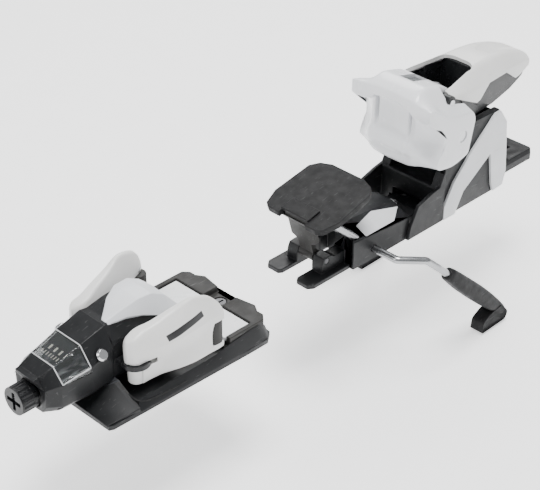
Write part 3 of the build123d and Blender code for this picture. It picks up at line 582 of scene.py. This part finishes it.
# %% Toe cap
def faceted(name, stations, table, radius, ends, sharp):
    """Corners (y, z) at stations along x, with straight runs between, rolled and closed."""
    fine = np.linspace(stations[0], stations[-1], 70)
    table = np.array(table, float)
    corners = np.stack([[np.interp(fine, stations, table[:, k, i]) for i in range(2)]
                        for k in range(table.shape[1])]).transpose(2, 0, 1)
    outline = rolled(corners, radius, 4)
    return skinned(name, domed(along_x(fine, outline), ends), sharp=sharp)


CAP_STATIONS = [-39.8, -33, -26, -15, -4, 6, 13.6, 18.4]
CAP = [
    [(-10.2, 50.0), (-11.8, 52.6), (-9.8, 54.3), (-6.6, 54.7), (-6.0, 54.2), (-6.2, 50.0)],
    [(-11.4, 50.0), (-13.2, 52.7), (-10.6, 56.2), (-3.0, 56.9), (-0.4, 56.2), (-0.6, 50.0)],
    [(-12.4, 50.0), (-14.3, 52.8), (-10.9, 57.6), (0.0, 58.2), (5.6, 57.5), (5.4, 50.0)],
    [(-14.0, 47.8), (-16.1, 49.4), (-11.2, 59.2), (4.0, 59.6), (11.2, 58.9), (12.6, 50.0)],
    [(-15.4, 43.8), (-18.4, 44.8), (-11.8, 58.6), (0.0, 59.2), (11.8, 58.6), (18.4, 44.8)],
    [(-15.6, 41.0), (-18.8, 42.0), (-12.2, 53.0), (0.0, 54.2), (12.2, 53.0), (18.8, 42.0)],
    [(-13.4, 36.8), (-16.6, 37.8), (-11.8, 44.2), (0.0, 45.0), (11.8, 44.2), (16.6, 37.8)],
    [(-12.2, 33.8), (-14.6, 34.8), (-10.8, 38.6), (0.0, 39.2), (10.8, 38.6), (14.6, 34.8)]]
mount(faceted("toe_top_cap_shell", CAP_STATIONS, CAP, 0.9, 0.5, 14), COOL_GREY, "toe_top_cap")
roof = np.array([[(19.2, 40), (11.9, 53.4)], [(18, 41), (10.2, 54.0)], [(16.4, 43), (9.9, 56.6)],
                 [(15.6, 42), (9.9, 57.8)], [(14.6, 42), (9.6, 56.0)]])
roof = np.concatenate([roof, roof[:, ::-1] * (-1, 1)], 1)
mount(faceted("toe_roof", [-42.4, -38, -26, -12, -5], roof, 0.9, 0.5, 14), CHARCOAL, "toe_housing",
      covers=False)
print("toe cap and the roof under it")

# %% [markdown]
# ## Heel cup
# The cup is the piece the eye goes to: a brow with two horns, a pocket for the boot's heel between
# two narrow slots, a scalloped lip below and broad cheeks that lean in towards the roof. It is
# drawn as a profile in x and z that changes as it is carried from one cheek to the other.

# %% Cup profile
CUP_STATIONS = np.array([0, 9, 13.4, 15.4, 17.2, 19.6, 22.5, 28, 33, 37.0])
CUP_TABLE = np.array([
    # roof rear, ridge, brow back, brow top, brow edge, under brow,
    # pocket high, pocket low, lip top, lip front, lip under, chin,
    # chin under, belly, rear low, rear middle, rear top
    [(262, 108), (243, 112.8), (235, 110.6), (230.4, 107.4), (229.8, 101.2), (234.6, 99.0),
     (235.0, 86), (234.6, 76), (229.4, 71.0), (228.2, 66.4), (229.8, 62.6), (229.0, 57.4),
     (233, 52.6), (258, 50.6), (275, 54.6), (281, 82), (276, 98)],
    [(262, 108), (243, 112.8), (235, 110.6), (230.3, 107.4), (229.7, 100.9), (234.2, 98.6),
     (234.4, 86), (234.0, 76), (229.4, 70.8), (228.2, 66.2), (229.9, 62.4), (229.2, 57.6),
     (233, 52.8), (258, 50.6), (275, 54.6), (281, 82), (276, 98)],
    [(262, 108), (243, 112.8), (235, 110.4), (230.2, 107.2), (229.6, 100.2), (234.0, 98.0),
     (234.0, 86), (233.6, 76), (229.5, 70.6), (228.3, 66.0), (230.0, 62.2), (229.6, 58.2),
     (233, 53.0), (258, 50.6), (275, 54.6), (281, 82), (276, 98)],
    [(262, 108), (243, 112.8), (235, 110.4), (230.2, 107.2), (229.5, 99.6), (241.0, 97.0),
     (239.4, 86), (233.8, 76.4), (229.6, 70.4), (228.4, 65.8), (230.1, 62.2), (229.8, 58.6),
     (233, 53.2), (258, 50.6), (275, 54.6), (281, 82), (276, 98)],
    [(262, 108), (243, 112.8), (235, 110.2), (230.1, 107.0), (229.4, 98.2), (233.6, 96.4),
     (233.4, 86), (232.8, 76), (229.8, 70.2), (228.6, 65.6), (230.3, 62.2), (230.1, 59.2),
     (233.4, 53.4), (258, 50.6), (275, 54.6), (281, 82), (276, 98)],
    [(262, 107.4), (243, 112.2), (235, 109.8), (230.0, 106.8), (229.3, 96.4), (234.0, 94.6),
     (233.8, 86), (233.4, 76), (230.4, 69.8), (229.2, 65.4), (230.8, 62.2), (230.8, 59.8),
     (234, 53.8), (258, 50.6), (275, 54.6), (281, 82), (276, 97.6)],
    [(262, 104.6), (243, 109.2), (235, 108.4), (229.9, 106.4), (229.2, 94.8), (235.6, 92.8),
     (236.6, 85), (236.2, 76), (232.4, 69.4), (231.2, 65.0), (232.4, 62.0), (232.6, 60.0),
     (235.6, 54.2), (258, 50.6), (275, 54.6), (281, 82), (276, 96.4)],
    [(262, 98.6), (245, 102.4), (236, 106.4), (229.7, 106.0), (229.1, 94.3), (237.4, 91.2),
     (241.4, 84), (241.4, 75), (238.0, 68.0), (235.8, 64.0), (235.4, 61.2), (235.4, 59.2),
     (238.4, 54.4), (258, 50.6), (275, 54.6), (281, 82), (276, 93.4)],
    [(262, 93.2), (247, 96.8), (236.4, 104.8), (229.6, 105.7), (229.1, 94.3), (238.4, 90.6),
     (244.6, 83), (245.0, 74), (242.0, 66.6), (239.4, 62.8), (238.0, 60.0), (237.8, 58.0),
     (241.4, 54.0), (258, 50.6), (275, 54.6), (281, 81.6), (277, 90.4)],
    [(262, 89.4), (249, 92.6), (236.8, 102.6), (229.9, 104.6), (229.6, 95.0), (238.8, 90.6),
     (246.4, 82), (247.0, 73), (244.4, 65.8), (241.8, 62.0), (240.2, 59.2), (240.0, 57.0),
     (243.6, 53.4), (258, 50.9), (275, 54.9), (281, 81.2), (278, 87.4)]])


def heel_cup():
    """Seventeen corners (x, z) per station of |y|, mirrored about the middle, then slotted for the
    carriage's lugs and the lever's arms."""
    middle, slotted = np.linspace(0, 12.6, 8)[:-1], np.linspace(12.6, 20, 26)[:-1]
    half = np.concatenate([middle, slotted, np.linspace(20, 36.2, 22)])
    fine = np.concatenate([-half[:0:-1], half])
    corners = carried(CUP_STATIONS, CUP_TABLE, np.abs(fine))
    radius = np.array([5, 4, 3, 1.4, 1.4, 2.4, 4, 4, 1.6, 1.4, 1.4, 2.0, 3, 6, 3, 3, 3.0])[:, None]
    outline = rolled(corners, radius, 5)
    y = np.broadcast_to(fine[:, None], outline.shape[:2])
    rings = np.stack([outline[..., 0], y, outline[..., 1]], -1)
    piece = skinned("heel_cup_shell", domed(rings, 0.8, 3), sharp=40)
    arm_slot = [(250, 40), (250, 57.4), (254, 64), (257, 72), (257.6, 84), (257.6, 120),
                (292, 120), (292, 40)]
    slots = [prism("slot", arm_slot, *sorted((hand * 19.6, hand * 29.5))) for hand in (1, -1)]
    bore = prism("bore", disc(0, 87.6, 9.3, 32), 246, 300, "yz")
    well = prism("well", [(246, 90), (246, 125), (262, 125), (262, 90)], -6.4, 6.4)
    eye = prism("eye", disc(267, 72, 4.4, 32), -45, 45)
    return carve(piece, *slots, bore, well, eye, sharp=40)


cup = mount(heel_cup(), GLOSS_WHITE, "heel_housing")
print("heel cup", len(cup.data.polygons), "faces")

# %% [markdown]
# ## Lever cover
# The white cover on the lever is a crowned shell that narrows to the tail, with a window in front
# for the adjusting screw and a dish behind for a pole's tip. It is one outline carried along x,
# hollowed by a smaller copy of itself.

# %% Lever cover
def crowned(name, inset, drop):
    """Six corners (y, z) at stations along x; inset narrows the outline and drop lowers its roof."""
    # x, half-width, lower edge, shoulder, the crown's half-width, crown
    ribs = [(265, 27.4, 90, 99.6, 21, 103.4), (275, 27.2, 88, 98.6, 18.4, 105.4),
            (285, 26.4, 86, 97, 17, 106.0), (300, 24.5, 83, 94.6, 15.4, 106.6),
            (316, 22.6, 83, 94.0, 14.4, 106.6), (332, 21.0, 83, 93.6, 13.6, 105.6),
            (350, 18.8, 82, 92.6, 12.2, 101.8), (362, 17.4, 83.5, 91.2, 11.6, 97.4),
            (368, 16.2, 85, 90.0, 11.2, 94.6), (370.6, 14.6, 86.4, 88.8, 10.6, 92.6)]
    stations = [rib[0] - inset * (rib[0] > 364) for rib in ribs]
    half = np.array([[(edge - inset, low - 12 * (inset > 0)), (edge - inset, shoulder - drop),
                      (crown_half - inset / 2, crown - drop)]
                     for _, edge, low, shoulder, crown_half, crown in ribs])
    table = np.concatenate([half, half[:, ::-1] * (-1, 1)], 1)
    fine = np.linspace(stations[0], stations[-1], 64)
    outline = rolled(carried(stations, table, fine), np.array([0.6, 2.4, 3.4, 3.4, 2.4, 0.6])[:, None], 6)
    return skinned(name, domed(along_x(fine, outline), 0.2 if inset else 0.6), sharp=34)


def lever_cover():
    """The crowned shell less its hollow, the space under its lower edge, the front window and the dish."""
    edge = [(250, 60), (262, 100.6), (268, 98), (288, 87.6), (296, 83.6), (300.5, 84.2), (312, 93),
            (335, 92.4), (350, 81.6), (376, 88), (376, 60)]
    window = np.array([(258, -15.6), (300, -15.6), (306, -9), (306, 9), (300, 15.6), (258, 15.6)])
    window = rolled(window, 5, 6)
    throat = [(255, -19.9), (271, -19.9), (297, -15), (297, 15), (271, 19.9), (255, 19.9)]
    # the dish is cut by a long flat ball, x = 346 - 21 cos t, that follows the roof's own line
    t = np.linspace(0, np.pi, 24)[:, None, None]
    turn = np.linspace(0, 2 * np.pi, 40, endpoint=False)[None, :, None]
    x = 346 - 21 * np.cos(t)
    roof = np.interp(x, [300, 316, 332, 350, 362, 368], [106.6, 106.6, 105.6, 101.8, 97.4, 94.6])
    ball = np.concatenate([x + 0 * turn, 9.4 * np.sin(t) * np.cos(turn),
                           roof + 2.2 * np.sin(t) + 3.6 * np.sin(t) * np.sin(turn)], -1)[1:-1]
    return carve(crowned("lever_cover_shell", 0, 0), crowned("hollow", 2.2, 2.6),
                 prism("edge", edge, -45, 45), prism("window", window, 60, 140, "xy"),
                 prism("throat", throat, 60, 140, "xy"), skinned("dish", ball), sharp=34)


cover = mount(lever_cover(), WARM_WHITE, "lever_cover")
print("lever cover", len(cover.data.polygons), "faces")

# %% [markdown]
# ## Scale behind the toe window
# Under the clear skin lies a dark card with the release scale: short pale marks in two rows, and
# grey streaks low on its flanks that are painted reflections of the window's side facets. The card
# follows the nose's own facets two millimetres further in, and a pale rim runs round the window's
# edge; its pale grey is a painted highlight for the light caught along the clear moulding's edge.

# %% Scale card and window rim
NOSE_STATIONS = [-92, -82, -61, -42]
NOSE_TABLE = np.array([[(14.5, 31.5), (9, 39)], [(18.8, 33.2), (10.4, 42.4)], [(20.9, 36.4), (11.4, 48.6)],
                       [(19.4, 40), (11.8, 53.6)]])
WINDOW_FRONT, WINDOW_REAR = -81.6, -61.4


def nose_line(x, inset):
    """The nose's outline (y, z) at x, from one shoulder over the roof to the other, moved in by inset."""
    half = np.array([[np.interp(x, NOSE_STATIONS, NOSE_TABLE[:, k, i]) for i in range(2)] for k in range(2)])
    half = half - np.array([(inset, 0), (inset / 2, inset)])
    return np.concatenate([half, half[::-1] * (-1, 1)])


def scale_card():
    """Grid over the window: x along the nose, and along each outline four points with straight runs."""
    fine = np.linspace(-81.4, -61.6, 24)
    lines = np.array([nose_line(x, 2.4) for x in fine])
    t = np.linspace(0, 3, 49)
    row = np.clip(t.astype(int), 0, 2)
    share = (t - row)[None, :, None]
    across = lines[:, row] * (1 - share) + lines[:, row + 1] * share
    top = along_x(fine, across)
    under = top - (0, 0, 0.8)
    return skinned("toe_scale_card", np.concatenate([top, under[:, ::-1]], 1), sharp=20)


def scale_paint(tree, skin):
    """Rows of short and tall marks across the card, and grey streaks down its flanks as painted reflections.
    """
    x, y = measured(tree, (1, 0, 0)), measured(tree, (0, 1, 0))
    roof = between(tree, y, -9, 9)
    short = times(tree, times(tree, every(tree, y, 2.4, 0.7), between(tree, x, -76.8, -74.2)), roof)
    tall = times(tree, times(tree, every(tree, y, 4.8, 1.5), between(tree, x, -72.6, -69.2)), roof)
    skin = blend(tree, short, skin, (0.62, 0.60, 0.52))
    skin = blend(tree, tall, skin, (0.66, 0.64, 0.56))
    # Painted reflection: grey streaks low on the card's flanks stand in for the bright streaks on the
    # window's side facets.
    painted_reflection_streak = remap(tree, noise(tree, 260, 2, (0.15, 1, 1)), 0.5, 0.64, 0, 0.7)
    flank = remap(tree, measured(tree, (0, 0, 1)), 34, 44, 1, 0)
    return blend(tree, times(tree, painted_reflection_streak, flank), skin, (0.42, 0.43, 0.44))


CARD = moulded("scale_card", (0.030, 0.032, 0.034), 0.45, grain=0.01, pitch=600, cloud=0.2,
               paint=scale_paint)
mount(scale_card(), CARD, "toe_housing", covers=False)
# The rim's pale grey is a painted highlight for the light caught along the clear window's edge.
WINDOW_EDGE_HIGHLIGHT = moulded("window_rim_painted_highlight", (0.52, 0.53, 0.54), 0.25, grain=0.01, pitch=600, cloud=0.06, coat=0.3)
front, rear = nose_line(WINDOW_FRONT, 0.1), nose_line(WINDOW_REAR, 0.1)
loop = np.concatenate([np.c_[np.full(4, WINDOW_FRONT), front], np.c_[np.full(4, WINDOW_REAR), rear[::-1]]])
loop = np.concatenate([loop, loop[:1]])
steps = np.linspace(0, 8, 97)
rim_path = np.stack([np.interp(steps, np.arange(9), loop[:, i]) for i in range(3)], 1)
mount(tube("toe_window_rim", rim_path, 0.42, 10), WINDOW_EDGE_HIGHLIGHT, "toe_housing", covers=False)
print("scale card and rim under the toe window")

# %% [markdown]
# ## Flanks of the toe base
# On the real base the sides slope without a step from the inner carrier down to the thin outer
# edge, and a narrow groove shows where the carrier drops in. A long wedge on each side fills the
# step, a smooth face and a ribbon lie on each slope of the prow, and a black line sunk to half
# its depth stands for the groove. The ribbon's paler grey is painted light: it is the same black
# plastic, lightened where its upward strip catches the key light.

# %% Base flanks and groove
# Painted light: a paler grey for the prow's upward-facing ribbon, which is the same black plastic as the face
# beside it.
GRAPHITE_PAINTED_LIGHT = moulded("graphite_painted_light", (0.050, 0.054, 0.060), 0.40, grain=0.02, pitch=1300, cloud=0.1,
                        scuff=0.1)


def flank(name, hand):
    """Four-cornered section (|y|, z) carried along the side of the base."""
    stations = [-41, -36, -20, 20, 36, 60, 66, 70.5]
    table = np.array([[(38.2, 3), (42.0, 3.0), (41.6, 3.9), (38.6, 8.4)],
                      [(38.2, 3), (42.2, 3.0), (41.9, 3.9), (38.6, 10.2)],
                      [(38.2, 3), (42.5, 3.0), (42.2, 3.9), (38.9, 11.2)],
                      [(38.2, 3), (43.0, 3.0), (42.8, 4.0), (39.7, 11.8)],
                      [(38.2, 3), (43.2, 3.0), (43.0, 4.0), (39.8, 14.0)],
                      [(38.2, 3), (43.2, 3.0), (43.0, 4.0), (39.6, 15.6)],
                      [(37.2, 3), (42.6, 3.0), (42.4, 4.0), (38.4, 13.0)],
                      [(34.2, 3), (39.2, 3.0), (39.0, 4.0), (35.6, 9.0)]])
    fine = np.linspace(-41, 70.5, 70)
    outline = rolled(carried(stations, table, fine), 0.8, 4)
    return skinned(name, domed(along_x(fine, outline, hand), 0.4), sharp=30)


def prow(name, hand, corners):
    """Four corners (|y|, z) at the front edge and at the wedge's end; the faces between are ruled."""
    table = np.array(corners, float) * (hand, 1)
    return faceted(name, [-65.7, -41.4], table, 0.5, 0.3, 14)


PROW_FACE = [[(3.0, 2.6), (38.3, 2.6), (38.4, 4.0), (3.4, 4.9)],
             [(18.0, 3.0), (40.7, 3.0), (40.9, 5.3), (20.0, 16.8)]]
PROW_RIBBON = [[(0.8, 3.0), (3.6, 3.0), (4.4, 4.9), (1.0, 5.0)],
               [(15.6, 12.0), (18.2, 12.0), (21.8, 16.2), (17.0, 17.0)]]
GROOVE = np.array([(-41.3, 22, 12.4), (-41.4, 34, 9.8), (-39.8, 38.2, 8.6), (-34, 40.3, 7.4),
                   (-18, 41.0, 6.6), (-4, 41.4, 6.4)])
for side_name, hand in (("left", -1), ("right", 1)):
    groove = carried(np.arange(6), GROOVE * (1, hand, 1), np.linspace(0, 5, 60))
    for piece, finish in ((prow("prow_face_" + side_name, hand, PROW_FACE), CHARCOAL),
                          (prow("prow_ribbon_" + side_name, hand, PROW_RIBBON), GRAPHITE_PAINTED_LIGHT),
                          (flank("toe_flank_" + side_name, hand), CHARCOAL),
                          (tube("carrier_groove_" + side_name, groove, 0.55, 8), RUBBER)):
        mount(piece, finish, "toe_base", covers=False)
print("flanks and grooves on both sides")

# %% [markdown]
# ## Brake pad cover and grips
# The pad's hinge is hidden under a thin tongue at its front edge. The grips are rubber sleeves that
# swell towards a hooked foot; a box would do for the foot, but the sleeve needs sections again.

# %% Pad tongue
PAD_TURN = radians(12.8)
PAD_PIN = np.array([141, 0, 44])
Y_AXIS = np.array([0, 1, 0])
pad_x = np.array([np.cos(PAD_TURN), 0, np.sin(PAD_TURN)])
pad_up = np.array([-np.sin(PAD_TURN), 0, np.cos(PAD_TURN)])
outline = rolled(np.array([(-5.2, -12.6), (-5.2, 12.6), (7.6, 12.6), (7.6, -12.6)]), 0.8)
levels = np.array([5.0, 5.2, 7.1, 7.4])
shrink = np.array([0.4, 0, 0, 0.4])
rings = outline[None] - np.sign(outline[None] - (1.2, 0)) * shrink[:, None, None]
tongue = PAD_PIN + rings[..., :1] * pad_x + rings[..., 1:] * Y_AXIS + levels[:, None, None] * pad_up
mount(skinned("pad_tongue", tongue), RUBBER, "brake_pad", covers=False)
print("tongue over the pad's hinge")


# %% Grips
ARM_Y = 61.0


def grip(name, hand):
    """Rounded sections square to the arm at distances down it, and a hooked foot drawn in x and z."""
    slope = radians(43.5)
    along = np.array([np.cos(slope), 0, -np.sin(slope)])
    up = np.array([np.sin(slope), 0, np.cos(slope)])
    stations = [20.5, 22, 28, 45, 66, 86, 100, 110, 116]
    # how far the sleeve reaches under and over the wire, and its half-width
    table = np.array([(-4.2, 4.4, 4.4), (-4.6, 5.2, 5.0), (-5.0, 5.8, 5.6), (-6.0, 6.2, 6.4),
                      (-6.2, 6.6, 6.6), (-5.8, 6.2, 6.2), (-5.0, 5.4, 5.6), (-4.0, 4.6, 5.0),
                      (-3.0, 3.4, 4.2)])
    fine = np.linspace(20.5, 116, 60)
    low, high, wide = carried(stations, table, fine).T
    square = np.stack([np.stack([low, -wide], 1), np.stack([low, wide], 1),
                       np.stack([high, wide * 0.82], 1), np.stack([high, -wide * 0.82], 1)], 1)
    outline = rolled(square, 3.4, 7)
    bend = np.array([214, hand * ARM_Y, -1.0])
    rings = bend + fine[:, None, None] * along + outline[..., :1] * up + outline[..., 1:] * Y_AXIS
    sleeve = skinned(name, domed(rings, 1.2), sharp=40)
    foot = np.array([(268.6, -86.0), (270.2, -76.6), (279, -72.0), (292, -70.4), (299.4, -79.4),
                     (297, -85.4)])
    foot = rolled(foot, 2.2, 5)
    half = np.array([4.2, 5.2, 5.6, 5.6, 5.2, 4.2])
    middle = foot.mean(0)
    size = np.array([0.86, 0.96, 1.0, 1.0, 0.96, 0.86])
    place = hand * ARM_Y + np.array([-1, -1, -1, 1, 1, 1]) * half
    flat = middle + (foot - middle)[None] * size[:, None, None]
    rings = np.stack([flat[..., 0], np.broadcast_to(place[:, None], flat.shape[:2]), flat[..., 1]], -1)
    hook = skinned("hook", rings, sharp=40)
    joined = bmesh.new()
    for part in (sleeve, hook):
        joined.from_mesh(part.data)
    joined.to_mesh(sleeve.data)
    joined.free()
    bpy.data.objects.remove(hook)
    return sleeve


for side_name, hand in (("left", -1), ("right", 1)):
    piece = mount(grip("brake_grip_sleeve_" + side_name, hand), RUBBER, "brake_grip_" + side_name)
    print(piece.name, len(piece.data.polygons), "faces")

# %% [markdown]
# ## The toe unit's base and housing
# The base, the carrier in its shallow seat and the housing with its nose are spark-textured black
# mouldings with broad flat facets. Their facets are already right, so copies are enough, rounded
# for all but the base.

# %% Toe mouldings
for node, width, finish in (
        ("toe_base", 0, CHARCOAL), ("toe_carrier", 0.4, CHARCOAL), ("toe_housing", 0.4, CHARCOAL),
        ("toe_adjust_screw", 0.35, CHARCOAL_SMOOTH), ("afd_frame", 0.6, GRAPHITE),
        ("afd_plate", 0.4, SLIDE_WHITE), ("toe_window", 0.3, GLASS),
        ("roller_left", 0.5, GRAPHITE), ("roller_right", 0.5, GRAPHITE), ("toe_indicator", 0.2, TRIM_WHITE)):
    bevelled(node, width, finish)

# %% Heel mouldings
for node, width, finish in (
        ("heel_track", 0.4, CHARCOAL), ("brake_base", 0.6, CHARCOAL), ("brake_base_insets", 0.2, TRIM_WHITE),
        ("heel_carriage", 0.6, CHARCOAL), ("side_trim_left", 0.3, TRIM_WHITE),
        ("side_trim_right", 0.3, TRIM_WHITE), ("heel_scale_window", 0.2, GLASS),
        ("lever_body", 0.5, CHARCOAL_SMOOTH), ("brake_link", 0.3, GRAPHITE), ("brake_pad", 0.6, RUBBER),
        ("heel_indicator", 0.2, TRIM_WHITE)):
    bevelled(node, width, finish)

# %% Metal pieces
for node, finish in (
        ("afd_screw", DARK_STEEL), ("toe_rivets", POLISHED), ("toe_spring", SPRING_STEEL),
        ("toe_piston", BRIGHT_STEEL), ("wing_pins", BRIGHT_STEEL), ("roller_pin_left", BRIGHT_STEEL),
        ("roller_pin_right", BRIGHT_STEEL), ("base_screws", BRIGHT_STEEL), ("length_screw", BRIGHT_STEEL),
        ("heel_pivot_pin", BRIGHT_STEEL), ("heel_spring", SPRING_STEEL), ("heel_piston", BRIGHT_STEEL),
        ("heel_adjust_screw", DARK_STEEL), ("lever_pin", BRIGHT_STEEL), ("brake_arm_left", STEEL_WIRE),
        ("brake_arm_right", STEEL_WIRE), ("link_pin", DARK_STEEL), ("pad_pin", DARK_STEEL)):
    bevelled(node, 0.15, finish)

# %% [markdown]
# ## Floor and the engineering box
# The floor is a plain pale sheet under the brake's feet. Before the script ends it prints the
# engineering model's box.

# %% Floor
FLOOR_GLOW = 0.95


def flat_sheet(name, half, low):
    """Square of the given half side at height low: x and y run over a grid, z stays."""
    side = np.linspace(-half, half, 9)
    x, y = np.meshgrid(side, side, indexing="ij")
    points = np.stack([x, y, np.full_like(x, low)], axis=-1).reshape(-1, 3) * MM
    first = (np.arange(8)[:, None] * 9 + np.arange(8)[None]).ravel()
    mesh = bpy.data.meshes.new(name)
    mesh.from_pydata(points.tolist(), [], np.stack([first, first + 9, first + 10, first + 1], 1).tolist())
    piece = bpy.data.objects.new(name, mesh)
    bpy.context.scene.collection.objects.link(piece)
    return piece


floor = flat_sheet("floor", 4000, CAD_BOX[0][2] / MM - 0.5)
paper = moulded("floor_paper", (0.95, 0.95, 0.95), 0.9, grain=0.05, pitch=300, cloud=0.01)
lit = next(node for node in paper.node_tree.nodes if node.type == "BSDF_PRINCIPLED")
lit.inputs["Emission Color"].default_value = (1, 1, 1, 1)
lit.inputs["Emission Strength"].default_value = FLOOR_GLOW
floor.data.materials.append(paper)
print("floor at", round(CAD_BOX[0][2], 4))

# %% Engineering box
print("engineering box", [[round(c, 4) for c in v] for v in CAD_BOX])
